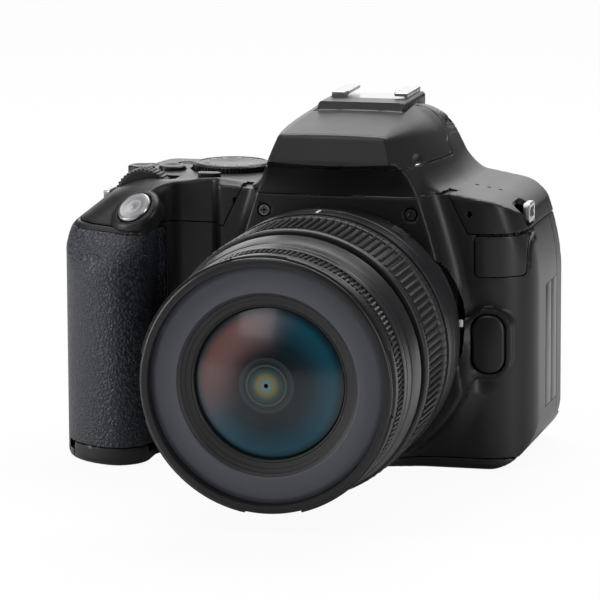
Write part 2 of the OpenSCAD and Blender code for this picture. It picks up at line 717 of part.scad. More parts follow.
module screen_housing() {
    color("#1e2022") difference() {
        back(screen_y1 - screen_t, screen_y1) polygon(rounded([[screen_x1, screen_z0, 1.5],
            [screen_x1, screen_z0 + screen_h, 1.5], [screen_x0, screen_z0 + screen_h, 3], [screen_x0, screen_z0, 3]]));
        box([screen_x0 + 3, screen_y1 - 0.9, screen_z0 + 3], [screen_x1 - 3, big, screen_z0 + screen_h - 3]);
    }
}
module screen_glass() {
    color("#0c1013") box([screen_x0 + 3, screen_y1 - 0.9, screen_z0 + 3],
        [screen_x1 - 3, screen_y1 - 0.2, screen_z0 + screen_h - 3]);
}
// Rear buttons: name, x, z, width, height, corner radius
rear_buttons = [["menu", 29.5, 66.6, 8, 3.2, 1.5], ["play", -47, 9.6, 6.4, 4.4, 2.1],
    ["delete", -66, 9.6, 6.4, 4.4, 2.1], ["view", -26, 66.6, 4.2, 4.2, 2]];
module rear_button(i) {
    b = rear_buttons[i];
    color("#222426") pill(b[1], b[2], b[3], b[4], rear_y - rear_button_t, rear_y + 0.9, b[5]);
}
module menu_button() { rear_button(0); }
module play_button() { rear_button(1); }
module delete_button() { rear_button(2); }
module view_button() { rear_button(3); }
module cross_pad() {
    color("#242628") difference() {
        rod_y([pad_x, 24], 9, rear_y - rear_button_t, rear_y + 0.9);
        rod_y([pad_x, 24], 4.2 + gap, 0, 40);
    }
}
module set_button() { color("#2a2c2e") rod_y([pad_x, 24], 4.2, rear_y - rear_button_t, rear_y + 1.2); }
module lock_button() { color("#222426") rod_z([-52, 13.6], 2.4, 66, 71); }
module point_button() { color("#222426") rod_z([-62.5, 13.6], 2.4, 65.5, 70.5); }

front_cover();
rear_cover();
top_cover();
bottom_cover();
grip_rubber();
mount_ring();
screws();
mirror_box();
finder_optics();
eyepiece_lens();
eyecup();
shutter_unit();
image_sensor();
main_board();
tripod_socket();
battery_box();
battery();
memory_card();
shoe_rails();
dial_axle();
strap_lugs();
name_plate();
side_ports();
lens_bayonet();
lens_barrel();
aperture_unit();
rear_element();
reflex_mirror();
dioptre_knob();
battery_door();
battery_latch();
flash_head();
flash_window();
mode_dial();
power_lever();
main_dial();
shutter_button();
iso_button();
disp_button();
release_button();
lock_pin();
port_door_front();
port_door_rear();
screen_hinge();
screen_housing();
screen_glass();
menu_button();
play_button();
delete_button();
set_button();
cross_pad();
view_button();
lock_button();
point_button();
zoom_ring();
inner_barrel();
focus_ring();
name_ring();
front_element();
mode_switch();
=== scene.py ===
"""Finished surfaces, materials, lights and camera for a reflex camera with a zoom lens."""
import json
import math

import bmesh
import bpy
import numpy as np
from mathutils import Matrix, Vector


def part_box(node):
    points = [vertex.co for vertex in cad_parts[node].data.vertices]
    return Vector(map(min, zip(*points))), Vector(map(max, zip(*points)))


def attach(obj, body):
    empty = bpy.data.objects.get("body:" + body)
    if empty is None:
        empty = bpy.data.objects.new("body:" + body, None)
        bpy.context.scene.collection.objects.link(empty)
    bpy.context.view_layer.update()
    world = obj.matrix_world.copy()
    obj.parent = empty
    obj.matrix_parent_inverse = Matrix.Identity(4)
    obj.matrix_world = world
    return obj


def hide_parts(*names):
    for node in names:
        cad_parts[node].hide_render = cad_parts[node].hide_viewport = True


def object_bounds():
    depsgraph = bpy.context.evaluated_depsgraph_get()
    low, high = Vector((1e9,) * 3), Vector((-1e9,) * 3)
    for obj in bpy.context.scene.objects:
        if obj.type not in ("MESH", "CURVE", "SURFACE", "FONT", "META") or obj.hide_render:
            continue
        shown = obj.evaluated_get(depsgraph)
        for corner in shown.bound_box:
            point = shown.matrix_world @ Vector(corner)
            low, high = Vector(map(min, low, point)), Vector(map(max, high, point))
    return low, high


bl_info = {
    "name": "Reflex Camera",
    "version": (1, 0, 0),
    "blender": (4, 5, 0),
    "location": "View3D > Sidebar > Reflex Camera",
    "description": "Builds the covers, controls, lens and finishes of a reflex camera round its frame",
    "category": "Object",
}

MM = 0.001
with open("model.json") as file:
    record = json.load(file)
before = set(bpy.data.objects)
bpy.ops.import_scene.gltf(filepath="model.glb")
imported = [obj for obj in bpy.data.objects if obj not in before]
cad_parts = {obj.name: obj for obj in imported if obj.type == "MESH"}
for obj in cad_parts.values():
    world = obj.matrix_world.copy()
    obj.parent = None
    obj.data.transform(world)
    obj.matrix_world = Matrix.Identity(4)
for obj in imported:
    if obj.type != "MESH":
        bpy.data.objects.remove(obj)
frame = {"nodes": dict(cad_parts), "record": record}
CAD_BOX = [list(corner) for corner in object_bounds()]


def lo(name):
    """Lowest corner of a frame node in millimetres."""
    return np.array(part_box(name)[0]) / MM


def hi(name):
    """Highest corner of a frame node in millimetres."""
    return np.array(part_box(name)[1]) / MM


def mid(name):
    """Middle of a frame node's box in millimetres."""
    return (lo(name) + hi(name)) / 2


# Main planes of the body, in millimetres
AXIS_Z = mid("mount_ring")[2]
PORT_X = hi("front_cover")[0]
GRIP_X = lo("grip_rubber")[0]
GRIP_Y = lo("grip_rubber")[1]
REAR_Y = 22.0
RIGHT_FRONT_Y = -25.0
VALLEY_Y = -20.0  # front face between grip and lens
BEZEL_Y = -33.0  # front face round the lens mount
SPLIT_Y = lo("rear_cover")[1]
SPLIT_Z = lo("top_cover")[2]
BASE_Z = hi("bottom_cover")[2]
SEAM_Z = 71.0  # top of the front cover over the lens
EYE_HALF = 19.0  # half width and top of the rear cover's part round the eyepiece
EYE_TOP = 87.0
HINGE = (4.0, 85.0)  # y and z of the flash hinge
HINGE_R = 4.4
MODE_AT = (-38.0, 7.0)
SEAM = 0.12  # half of the gap between two covers
SKIN = 1.3  # depth of the recess for the grip rubber
SMOOTH = 32.0  # degrees above which an edge stays sharp
GLASS_R = 18.55  # radius of the front glass

# ---------------------------------------------------------------- settings


class CameraSettings(bpy.types.PropertyGroup):
    """Sizes and colours of the body and lens that may be changed."""

    cell: bpy.props.FloatProperty(
        name="Surface step", description="Spacing of the sampled cover surfaces, in millimetres", default=0.6, min=0.4)
    wall: bpy.props.FloatProperty(
        name="Cover wall", description="Thickness of the covers, in millimetres", default=2.0, min=1.0)
    deck_fillet: bpy.props.FloatProperty(
        name="Deck fillet", description="Radius where the hump meets the deck, in millimetres", default=4.5)
    ribs: bpy.props.IntProperty(name="Zoom ribs", description="Ribs round the zoom ring", default=112, min=12)
    focus_teeth: bpy.props.IntProperty(
        name="Focus teeth", description="Teeth round the focus ring", default=150, min=24)
    dial_teeth: bpy.props.IntProperty(
        name="Dial teeth", description="Teeth round the mode dial", default=64, min=12)
    body_colour: bpy.props.FloatVectorProperty(
        name="Body", description="Colour of the moulded covers", subtype="COLOR", size=3,
        default=(0.0085, 0.0088, 0.0098))
    grip_colour: bpy.props.FloatVectorProperty(
        name="Grip", description="Colour of the grip rubber", subtype="COLOR", size=3, default=(0.024, 0.0275, 0.040))
    lens_colour: bpy.props.FloatVectorProperty(
        name="Lens", description="Colour of the lens barrel", subtype="COLOR", size=3, default=(0.0085, 0.0088, 0.0100))


# ------------------------------------------------------- solid fields (mm)


def edge(a, b, r):
    """Inside both a and b, with the outer edge rounded to radius r."""
    if np.all(np.less_equal(r, 0)):
        return np.maximum(a, b)
    return np.minimum(np.maximum(a, b), -r) + np.hypot(np.maximum(a + r, 0), np.maximum(b + r, 0))


def blend(a, b, r):
    """Inside a or b, with the inner corner filled to radius r."""
    if np.all(np.less_equal(r, 0)):
        return np.minimum(a, b)
    return np.maximum(np.minimum(a, b), r) - np.hypot(np.maximum(r - a, 0), np.maximum(r - b, 0))


def meet(*parts):
    """Inside every part."""
    return np.maximum.reduce(parts)


def cut(d, *rooms):
    """Inside d and outside every room."""
    for room in rooms:
        d = np.maximum(d, -room)
    return d


def plane(p, at, normal):
    """Side of a plane, inside against its normal."""
    n = np.array(normal, float)
    n /= np.linalg.norm(n)
    return (p[0] - at[0]) * n[0] + (p[1] - at[1]) * n[1] + (p[2] - at[2]) * n[2]


def slab(p, low, high, r=0.0):
    """Box from corner low to corner high with edges of radius r."""
    c = [(a + b) / 2 for a, b in zip(low, high)]
    h = [(b - a) / 2 - r for a, b in zip(low, high)]
    q = [abs(v - m) - s for v, m, s in zip(p, c, h)]
    out = np.sqrt(sum(np.maximum(v, 0) ** 2 for v in q))
    return out + np.minimum(np.maximum.reduce(q), 0) - r


def ball(p, at, radii):
    """Ellipsoid."""
    k = np.sqrt(sum(((v - c) / s) ** 2 for v, c, s in zip(p, at, radii)))
    return (k - 1) * min(radii)


def rod(p, at, axis, r, a, b):
    """Cylinder of radius r along x, y or z from a to b, through at."""
    u, v = [i for i in range(3) if i != axis]
    radial = np.hypot(p[u] - at[u], p[v] - at[v]) - r
    return np.maximum(radial, np.maximum(a - p[axis], p[axis] - b))


def lozenge(u, v, cu, cv, w, h, r):
    """Rounded rectangle in a plane."""
    a = abs(u - cu) - (w / 2 - r)
    b = abs(v - cv) - (h / 2 - r)
    return np.hypot(np.maximum(a, 0), np.maximum(b, 0)) + np.minimum(np.maximum(a, b), 0) - r


SIDE_AT = (13.97, -37.6, 86.8)
SIDE_N = (0.884, -0.153, 0.442)
SHUTTER_N = np.array((-0.295, -0.59, 0.751))
SHUTTER_AT = np.array((-53.4, -32.2, 65.7))
LENS_AT = (0, 0, AXIS_Z)
Y_AXIS, Z_AXIS = (0, 1, 0), (0, 0, 1)
BEZEL_SCREW = (19.06, 66.7)  # x and z
TOP_BUTTONS = ("iso_button", "disp_button", "lock_button", "point_button")


def side_plane(p):
    """Slanted flank of the hump, the same on both sides."""
    return plane((abs(p[0]), p[1], p[2]), SIDE_AT, SIDE_N)


def torso(p):
    """Body without its hump and lens frame."""
    x, y, z = p
    left = GRIP_X - x
    right = x - PORT_X
    back = y - REAR_Y
    slab_r = edge(edge(edge(right, RIGHT_FRONT_Y - y, 13), back, 5), -34 - x, 2)
    slab_l = edge(edge(left, back, 9), VALLEY_Y - y, 2)
    slab_l = edge(slab_l, x - 20, 0)
    grip = edge(edge(left, GRIP_Y - y, 19), x + 49.3 + 0.03 * (y + 42), 9)
    grip = edge(grip, y - 12, 0)
    walls = blend(blend(slab_l, grip, 7), slab_r, 3)
    deck_right = z - (67.6 + 0.185 * (47 - x))
    deck_left = z - (71.1 + 1.4 * np.exp(-((y + 20) / 4.5) ** 2) * np.exp(-((x + 35) / 8) ** 2))
    deck = np.where(x > 0, deck_right, deck_left)
    d = edge(walls, deck, 0.9)
    d = edge(d, plane(p, SHUTTER_AT - 1.2 * SHUTTER_N, SHUTTER_N), 4)
    d = edge(d, plane(p, (-67.2, 0, 66.2), (-0.62, -0.05, 0.785)), 4)
    d = edge(d, plane(p, (46.2, 10, 62.5), (0.9, 0, 0.44)), 5)
    d = edge(d, -z, 1.5)
    d = np.maximum(d, edge(right, -z, 11.5))
    d = np.maximum(d, edge(left, -z, 4.5))
    return d


def prow(p):
    """Hump, brow and the frame round the lens, as one form."""
    x, y, z = p
    bow = 0.6 * (1 - (x / 16) ** 2)
    panel = plane((x, y + bow * 0.8, z), (0, -37.6, 86.8), (0, -0.874, 0.486))
    brow = np.maximum(panel, 9.6 - np.hypot(y + 42.5, z - 70.8 + bow))
    brow = np.maximum(brow, 70.8 - z)
    front = np.minimum(BEZEL_Y - y, brow)
    draft = 0.17 * (y - BEZEL_Y)
    tail = plane((abs(x), y, z), (22.6, 2, 85.6), (0.88, 0.17, 0.44))
    sides = edge(edge(side_plane(p), tail, 12), abs(x) - 33.4 - draft, 20)
    sides = np.maximum(sides, np.hypot(x, z - AXIS_Z) - 35.6 - draft - 60 * (z > AXIS_Z + 10))
    roof = plane(p, (0, -37.6, 87.2), (0, -0.075, 0.997)) + 0.4 * np.clip(abs(x) / 15, 0, 1) ** 2
    d = edge(front, sides, 0.7)
    d = edge(d, roof, np.clip(0.8 + 0.15 * (y + 37), 0.7, 6.5))
    fall = plane(p, (0, 9, 90.0), (0, 0.22, 0.976))
    back = plane(p, (0, 19.5, 86.2), (0, 0.66, 0.75))
    return edge(d, edge(edge(fall, back, 3), y - REAR_Y - 1.4, 2), 2.5)


def release_outline(p):
    """Rim round the lens release button."""
    return lozenge(p[0], p[2], 37.8, 33.1, 8.6, 15.2, 4.0)


def body(p):
    """Whole outer form of the camera without its lens."""
    x, y, z = p
    bowl = ball(p, (36.6, -60.4, 34.0), (37.2, 37.2, 37.2))
    frame_part = edge(torso(p), -bowl, 1.2)
    rim = edge(release_outline(p) - 1.5, -26.3 - y, 0.6)
    rim = np.maximum(rim, y + 20)
    return blend(blend(frame_part, rim, 0.8), prow(p), settings().deck_fillet)


def parting(y):
    """Height of the seam under the flash head."""
    return 77.3 + 0.03 * (4 - y)


def flash_zone(p):
    """Room of the flash head, with its round hinge end and the way past the hot shoe."""
    x, y, z = p
    block = np.maximum(parting(y) - z, y - HINGE[0])
    barrel = np.hypot(y - HINGE[0], z - HINGE[1]) - HINGE_R
    return cut(np.minimum(block, barrel), np.maximum(abs(x) - 11.7, -8.8 - y))


def flash_notch(p):
    """Finger hollows at both sides of the flash head."""
    return ball((abs(p[0]), p[1], p[2]), (21.8, -25.6, 79.9), (3.6, 5.0, 2.4))


def base_top(x):
    """Height of the bottom cover's seam, which rises under the grip."""
    return np.where(x < -46.6, 4.7, BASE_Z)


def grip_zone(p):
    """Part of the body under the front rubber."""
    x, y, z = p
    return meet(x + 48.2, y - SPLIT_Y + 3, z - 59.6, base_top(x) + SEAM - z)


def thumb_zone(p):
    """Part of the body under the thumb rubber."""
    x, y, z = p
    return edge(edge(x + 47.5, 40 - z, 3), edge(z - 61, SPLIT_Y + 1.2 - y, 0), 3)


# ------------------------------------------------------------ surface nets


def contour(field, low, high, cell):
    """Closed surface of field < 0 inside the box, sharp where the field is. Returns points and quads."""
    low, high = np.array(low, float) - 1.5 * cell, np.array(high, float) + 1.5 * cell
    block = 8
    nb = np.ceil((high - low) / (cell * block)).astype(int)
    n = nb * block + 1
    centre = [low[i] + (np.arange(nb[i]) + 0.5) * cell * block for i in range(3)]
    grid = np.meshgrid(*centre, indexing="ij")
    coarse = field(tuple(g.ravel() for g in grid)).reshape(nb)
    near = abs(coarse) < cell * block * 1.25
    value = np.where(coarse > 0, 1.0, -1.0)
    for axis in range(3):
        value = np.repeat(value, block, axis=axis)
        near = np.repeat(near, block, axis=axis)
    pad = [(0, 1)] * 3
    value = np.pad(value, pad, mode="edge")
    keep = np.pad(near, pad, mode="edge")
    for axis in range(3):
        shifted = np.roll(keep, 1, axis=axis)
        index = [slice(None)] * 3
        index[axis] = 0
        shifted[tuple(index)] = False
        keep |= shifted
    at = np.nonzero(keep)
    value[at] = field(tuple(low[i] + at[i] * cell for i in range(3)))
    cells = tuple(n - 1)
    ids, points, quads_sign = [], [], []
    for axis in range(3):
        a = [slice(None)] * 3
        b = [slice(None)] * 3
        a[axis], b[axis] = slice(0, -1), slice(1, None)
        va, vb = value[tuple(a)], value[tuple(b)]
        cross = np.nonzero((va < 0) != (vb < 0))
        t = va[cross] / (va[cross] - vb[cross])
        q = [low[i] + cross[i] * cell for i in range(3)]
        q[axis] = q[axis] + t * cell
        u, v = (axis + 1) % 3, (axis + 2) % 3
        around = []
        for du, dv in ((-1, -1), (0, -1), (0, 0), (-1, 0)):
            c = [cross[i] for i in range(3)]
            c[u] = c[u] + du
            c[v] = c[v] + dv
            around.append(np.ravel_multi_index([np.clip(c[i], 0, cells[i] - 1) for i in range(3)], cells))
        ids.append(np.stack(around, 1))
        points.append(np.stack(q, 1))
        quads_sign.append(va[cross] < 0)
    ids, points, sign = np.concatenate(ids), np.concatenate(points), np.concatenate(quads_sign)
    h = cell * 0.05
    normal = np.zeros_like(points)
    for k in ((1, 1, 1), (1, -1, -1), (-1, 1, -1), (-1, -1, 1)):
        normal += np.outer(field(tuple(points[:, i] + k[i] * h for i in range(3))), k)
    normal /= np.linalg.norm(normal, axis=1, keepdims=True) + 1e-9
    unique, inverse = np.unique(ids.ravel(), return_inverse=True)
    m = len(unique)
    rep = np.repeat(np.arange(len(points)), 4)
    count = np.bincount(inverse, minlength=m)
    mass = np.stack([np.bincount(inverse, weights=points[rep, i], minlength=m) for i in range(3)], 1) / count[:, None]
    offset = (normal * points).sum(1)
    ata = np.zeros((m, 3, 3))
    atb = np.zeros((m, 3))
    for i in range(3):
        atb[:, i] = np.bincount(inverse, weights=(normal[:, i] * offset)[rep], minlength=m)
        for j in range(i, 3):
            ata[:, i, j] = np.bincount(inverse, weights=(normal[:, i] * normal[:, j])[rep], minlength=m)
            ata[:, j, i] = ata[:, i, j]
    pull = 0.06 * count
    atb += pull[:, None] * mass
    ata += pull[:, None, None] * np.eye(3)
    vertex = np.linalg.solve(ata, atb[:, :, None])[:, :, 0]
    corner = np.stack(np.unravel_index(unique, cells), 1) * cell + low
    vertex = np.clip(vertex, corner - 0.1 * cell, corner + 1.1 * cell)
    quads = inverse.reshape(-1, 4)
    quads = np.where(sign[:, None], quads, quads[:, ::-1])
    return vertex, quads.tolist()


def linked(name, data):
    """New object of the scene, at the origin."""
    obj = bpy.data.objects.new(name, data)
    bpy.context.scene.collection.objects.link(obj)
    return obj


def shaded(mesh, sharp=SMOOTH):
    """Smooth faces with sharp edges above an angle in degrees."""
    mesh.polygons.foreach_set("use_smooth", [True] * len(mesh.polygons))
    mesh.set_sharp_from_angle(angle=math.radians(sharp))
    return mesh


def mesh_of(name, bm):
    """Mesh made from an edit mesh, which is freed."""
    mesh = bpy.data.meshes.new(name)
    bm.to_mesh(mesh)
    bm.free()
    return mesh


def mesh_from(name, vertex, faces, sharp=40.0):
    """Mesh object at the origin from points in millimetres and faces."""
    mesh = bpy.data.meshes.new(name)
    mesh.from_pydata((np.asarray(vertex) * MM).tolist(), [], faces)
    mesh.validate()
    return linked(name, shaded(mesh, sharp))


def mould(name, field, low, high, cell=None):
    """Piece whose surface is sampled from a solid field, kept inside the frame's box."""
    cell = (cell or settings().cell) * 1
    points, faces = contour(field, low, high, cell)
    return mesh_from(name, np.clip(points, np.array(CAD_BOX[0]) / MM, np.array(CAD_BOX[1]) / MM), faces)


def finish_piece(obj, body_name, slot_name, *nodes, material=None):
    """Gives a piece the finish of its slot or the material given, parents it to its body and hides the frame nodes that
    it stands for.
    """
    obj.data.materials.clear()
    obj.data.materials.append(material or MATERIAL[slot_name])
    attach(obj, body_name)
    if nodes:
        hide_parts(*nodes)
    return obj


# ------------------------------------------------------------ shader groups


def socket(tree, name, way, kind="NodeSocketFloat", value=None):
    """New socket of a node group."""
    s = tree.interface.new_socket(name=name, in_out=way, socket_type=kind)
    if value is not None:
        s.default_value = value


def fill(tree, n, values):
    """Gives each value to the input or attribute of its name; a socket is linked."""
    for key, value in values.items():
        if isinstance(key, str) and key not in n.inputs:
            setattr(n, key, value)
        elif isinstance(value, bpy.types.NodeSocket):
            tree.links.new(value, n.inputs[key])
        else:
            n.inputs[key].default_value = value
    return n


def node(tree, kind, inputs=None, **values):
    """New node; inputs holds the names that are numbers or have spaces."""
    return fill(tree, fill(tree, tree.nodes.new(kind), values), inputs or {})


def times(tree, a, b, **values):
    """Product of two values."""
    return node(tree, "ShaderNodeMath", {0: a, 1: b}, operation="MULTIPLY", **values).outputs[0]


def vector(tree, operation, *inputs):
    return node(tree, "ShaderNodeVectorMath", dict(enumerate(inputs)), operation=operation)


def object_at(tree):
    return node(tree, "ShaderNodeTexCoord").outputs["Object"]


def noise(tree, at, **values):
    return node(tree, "ShaderNodeTexNoise", Vector=at, **values).outputs


def bump(tree, height, depth):
    return node(tree, "ShaderNodeBump", Height=height, Distance=depth, Strength=1.0).outputs["Normal"]


def mixed(tree, fac, low, high):
    """Colour between low and high by a mask."""
    return node(tree, "ShaderNodeMix", {0: fac, 6: low, 7: high}, data_type="RGBA").outputs[2]


def ranged(tree, fac, low, high, start=0.0, end=1.0, **values):
    """Value from low to high while the mask runs from start to end."""
    return node(tree, "ShaderNodeMapRange", {"Value": fac, "From Min": start, "From Max": end, "To Min": low,
                                             "To Max": high}, **values).outputs["Result"]


def shader_group(name, inputs, outputs):
    """Node group from its (name, value) inputs and (name, kind) outputs."""
    tree = bpy.data.node_groups.new(name, "ShaderNodeTree")
    for label, value in inputs:
        socket(tree, label, "INPUT", value=value)
    for label, kind in outputs:
        socket(tree, label, "OUTPUT", kind)
    return tree, tree.nodes.new("NodeGroupInput").outputs, tree.nodes.new("NodeGroupOutput")


NORMAL = ("Normal", "NodeSocketVector")
MASK = ("Mask", "NodeSocketFloat")


def make_grain():
    """Fine spark-eroded texture of a moulded cover."""
    t, i, o = shader_group("Moulded Grain", [("Scale", 2600.0), ("Depth", 0.00002)], [NORMAL, MASK])
    at = object_at(t)
    fine = noise(t, at, Scale=i["Scale"], Detail=3.0, Roughness=0.6)["Fac"]
    fill(t, o, {"Normal": bump(t, fine, i["Depth"]), "Mask": noise(t, at, Detail=4.0, Scale=90.0)["Fac"]})
    return t


def make_pebbles():
    """Rounded pebbles of the grip skin; the mask, used as colour, paints highlights on the crowns and shade in the
    creases between them.
    """
    t, i, o = shader_group("Grip Pebbles With Painted Light", [("Scale", 1350.0), ("Depth", 0.00022)], [NORMAL, MASK])
    at = object_at(t)
    warp = vector(t, "MULTIPLY_ADD", noise(t, at, Scale=400.0, Detail=2.0)["Color"], (0.0006, 0.0006, 0.0006), at)
    cells = node(t, "ShaderNodeTexVoronoi", feature="SMOOTH_F1", Smoothness=0.35, Vector=warp.outputs[0],
                 Scale=i["Scale"])
    # The crown height also makes the colour mask: painted highlight on the crowns, painted shade in the creases.
    crown = ranged(t, cells.outputs["Distance"], 1.0, 0.0, 0.15, 0.62)
    fill(t, o, {"Normal": bump(t, crown, i["Depth"]), "Mask": crown})
    return t


def make_wear():
    """Rubbed edges, broken up by noise."""
    t, i, o = shader_group("Rubbed Edges", [("Amount", 0.5)], [MASK])
    edges = ranged(t, node(t, "ShaderNodeNewGeometry").outputs["Pointiness"], 0.0, 1.0, 0.52, 0.62)
    broken = times(t, edges, noise(t, object_at(t), Scale=260.0, Detail=5.0)["Fac"])
    fill(t, o, {"Mask": times(t, broken, i["Amount"], use_clamp=True)})
    return t


def make_brushing():
    """Fine lines drawn along X."""
    t, i, o = shader_group("Brushed Lines", [("Scale", 900.0), ("Depth", 0.00001)], [NORMAL, MASK])
    at = node(t, "ShaderNodeMapping", Vector=object_at(t), Scale=(0.06, 1.0, 1.0)).outputs["Vector"]
    lines = noise(t, at, Scale=i["Scale"], Detail=2.0)["Fac"]
    fill(t, o, {"Normal": bump(t, lines, i["Depth"]), "Mask": lines})
    return t


GROUPS = {}


def use(tree, name, **values):
    return node(tree, "ShaderNodeGroup", node_tree=GROUPS[name], **values)


def shade(colour, factor):
    """Colour made lighter or darker, with its alpha."""
    return tuple(min(1.0, v * factor) for v in colour[:3]) + (1.0,)


def principled(name, values):
    """New material, its node tree and its Principled shader."""
    mat = bpy.data.materials.new(name)
    mat.use_nodes = True
    t = mat.node_tree
    return mat, t, fill(t, t.nodes["Principled BSDF"], values)


def plain(name, colour, rough, metallic=0.0, grain=("Moulded Grain", {}), vary=0.25, wear=0.35, coat=0.0,
          wear_colour=None, spec=0.5):
    """Principled material with grain, tone variation by the grain's mask and rubbed edges; with the grip pebbles the
    tone variation is painted highlight on the crowns and painted shade in the creases.
    """
    mat, t, p = principled(name, {"Metallic": metallic, "Specular IOR Level": spec})
    if coat:
        fill(t, p, {"Coat Weight": coat, "Coat Roughness": 0.12})
    g = use(t, grain[0], **grain[1]).outputs
    # Tone by the grain's mask: random for moulded grain and brushed lines, painted highlight and shade for the grip
    # pebbles.
    tone = mixed(t, g["Mask"], shade(colour, 1 - vary), shade(colour, 1 + vary))
    if wear:
        rubbed = use(t, "Rubbed Edges", Amount=wear).outputs["Mask"]
        tone = mixed(t, rubbed, tone, wear_colour or shade(colour, 2.6))
    fill(t, p, {"Normal": g["Normal"], "Base Color": tone,
                "Roughness": ranged(t, g["Mask"], rough * 0.88, rough * 1.12)})
    return mat


def glass(name, glass_paint, index):
    """Clear glass with a slight tint."""
    mat, t, p = principled(name, {"Transmission Weight": 1.0, "IOR": index})
    cloud = noise(t, object_at(t), Scale=60.0)["Fac"]
    fill(t, p, {"Base Color": mixed(t, cloud, shade(glass_paint, 0.96), shade(glass_paint, 1.04)),
                "Roughness": ranged(t, cloud, 0.0, 0.02)})
    return mat


def painted_reflection_glass(name, reflection_rings):
    """Dark glass with a thin clear coat, its colour a painted reflection: a colour for each radius from the lens axis,
    as (radius in mm, colour), and a warm painted reflection on the -x, +z side.
    """
    mat, t, p = principled(name, {"IOR": 1.55, "Coat Weight": 0.1, "Specular IOR Level": 0.3, "Coat Roughness": 0.03})
    at = object_at(t)
    m = node(t, "ShaderNodeMapping", Vector=at, Location=(0, 0, -AXIS_Z * MM)).outputs["Vector"]
    flat = vector(t, "MULTIPLY", m, (1, 0, 1)).outputs[0]
    k = times(t, vector(t, "LENGTH", flat).outputs["Value"], 1 / (reflection_rings[-1][0] * MM))
    ramp = node(t, "ShaderNodeValToRGB", Fac=k)
    e = ramp.color_ramp.elements
    e[0].position, e[0].color = 0.0, reflection_rings[0][1] + (1,)
    e[1].position, e[1].color = 1.0, reflection_rings[-1][1] + (1,)
    for radius, colour in reflection_rings[1:-1]:
        e.new(radius / reflection_rings[-1][0]).color = colour + (1,)

    def step(fac, start, end):
        return ranged(t, fac, 0.0, 1.0, start, end, interpolation_type="SMOOTHSTEP")
    # Painted warm reflection on the -x, +z side, in a band from about a quarter of the radius to the rim.
    warm = step(vector(t, "DOT_PRODUCT", m, (-42.0, 0.0, 30.0)).outputs["Value"], 0.05, 0.85)
    warm_reflection = times(t, times(t, warm, step(k, 0.25, 0.6)), step(k, 1.0, 0.86))
    fill(t, p, {"Base Color": mixed(t, warm_reflection, ramp.outputs["Color"], (0.15, 0.075, 0.07, 1)),
                "Roughness": ranged(t, noise(t, at, Scale=90.0)["Fac"], 0.16, 0.22)})
    return mat


def make_materials(s):
    """One material for each slot of the record."""
    GROUPS.update({"Moulded Grain": make_grain(), "Grip Pebbles With Painted Light": make_pebbles(), "Rubbed Edges": make_wear(),
                   "Brushed Lines": make_brushing()})
    body_c, grip_c, lens_c = tuple(s.body_colour), tuple(s.grip_colour), tuple(s.lens_colour)
    fine = ("Moulded Grain", {"Scale": 3200.0, "Depth": 0.000012})
    coarse = ("Moulded Grain", {"Scale": 2200.0, "Depth": 0.00003})
    lines = ("Brushed Lines", {"Scale": 6000.0, "Depth": 0.000006})
    return {
        "body_plastic": plain("Satin moulded black", body_c, 0.38, grain=coarse, wear=0.3, spec=0.3),
        "base_plastic": plain("Smooth moulded black", shade(body_c, 1.1), 0.34, grain=fine, wear=0.3, spec=0.35),
        "control_plastic": plain("Control black", body_c, 0.36, grain=fine, wear=0.5, spec=0.35),
        # Grip: vary 0.6 paints highlights on the pebble crowns and shade in the creases.
        "grip_rubber": plain("Pebbled grip rubber with painted light", grip_c, 0.52, grain=("Grip Pebbles With Painted Light", {}), vary=0.6, wear=0.0,
                             spec=0.45),
        "eyecup_rubber": plain("Soft rubber", (0.014, 0.014, 0.015), 0.7, grain=fine, wear=0.1),
        "lens_plastic": plain("Lens barrel black", lens_c, 0.34, grain=fine, wear=0.35, spec=0.33),
        "lens_rubber": plain("Ribbed ring rubber", shade(lens_c, 1.15), 0.4, grain=fine, wear=0.2, spec=0.38),
        "name_ring_plastic": plain("Matt name ring", (0.056, 0.060, 0.076), 0.5, grain=fine, vary=0.1, wear=0.2),
        "inner_plastic": plain("Matt inner black", (0.008, 0.008, 0.009), 0.6, grain=coarse, wear=0.1),
        "steel": plain("Bright steel", (0.36, 0.365, 0.37), 0.34, 1.0, grain=lines, vary=0.08, wear=0.0),
        "screw_steel": plain("Blackened screw", (0.09, 0.09, 0.095), 0.3, 1.0, grain=fine, vary=0.2, wear=0.8,
                             wear_colour=(0.4, 0.4, 0.41, 1)),
        "brushed_aluminium": plain("Brushed aluminium", (0.33, 0.33, 0.34), 0.34, 1.0, grain=lines, vary=0.12,
                                   wear=0.0),
        "brass": plain("Brass insert", (0.66, 0.5, 0.22), 0.3, 1.0, grain=lines, vary=0.1, wear=0.0),
        "optical_glass": glass("Clear optical glass", (0.97, 0.985, 1.0), index=1.22),
        "screen_glass": plain("Screen glass", (0.006, 0.0065, 0.008), 0.08, grain=fine, vary=0.1, wear=0.0, coat=0.5),
        "board": plain("Circuit board", (0.02, 0.11, 0.05), 0.4, grain=fine, wear=0.0),
        "sensor": plain("Sensor filter", (0.05, 0.11, 0.12), 0.1, grain=fine, wear=0.0, coat=0.5),
        "cell_plastic": plain("Cell case", (0.05, 0.052, 0.056), 0.45, grain=coarse),
        "card_plastic": plain("Card case", (0.03, 0.05, 0.12), 0.4, grain=fine),
        "mirror_face": plain("Silvered mirror", (0.85, 0.86, 0.87), 0.03, 1.0, grain=fine, vary=0.02, wear=0.0),
        "window": plain("Flash window", (0.45, 0.47, 0.5), 0.2, grain=fine, vary=0.1, wear=0.0, coat=0.5),
        "mark": plain("White marking", (0.62, 0.63, 0.65), 0.5, grain=fine, vary=0.05, wear=0.0),
    }


MATERIAL = {}

# ------------------------------------------------------------ mesh helpers


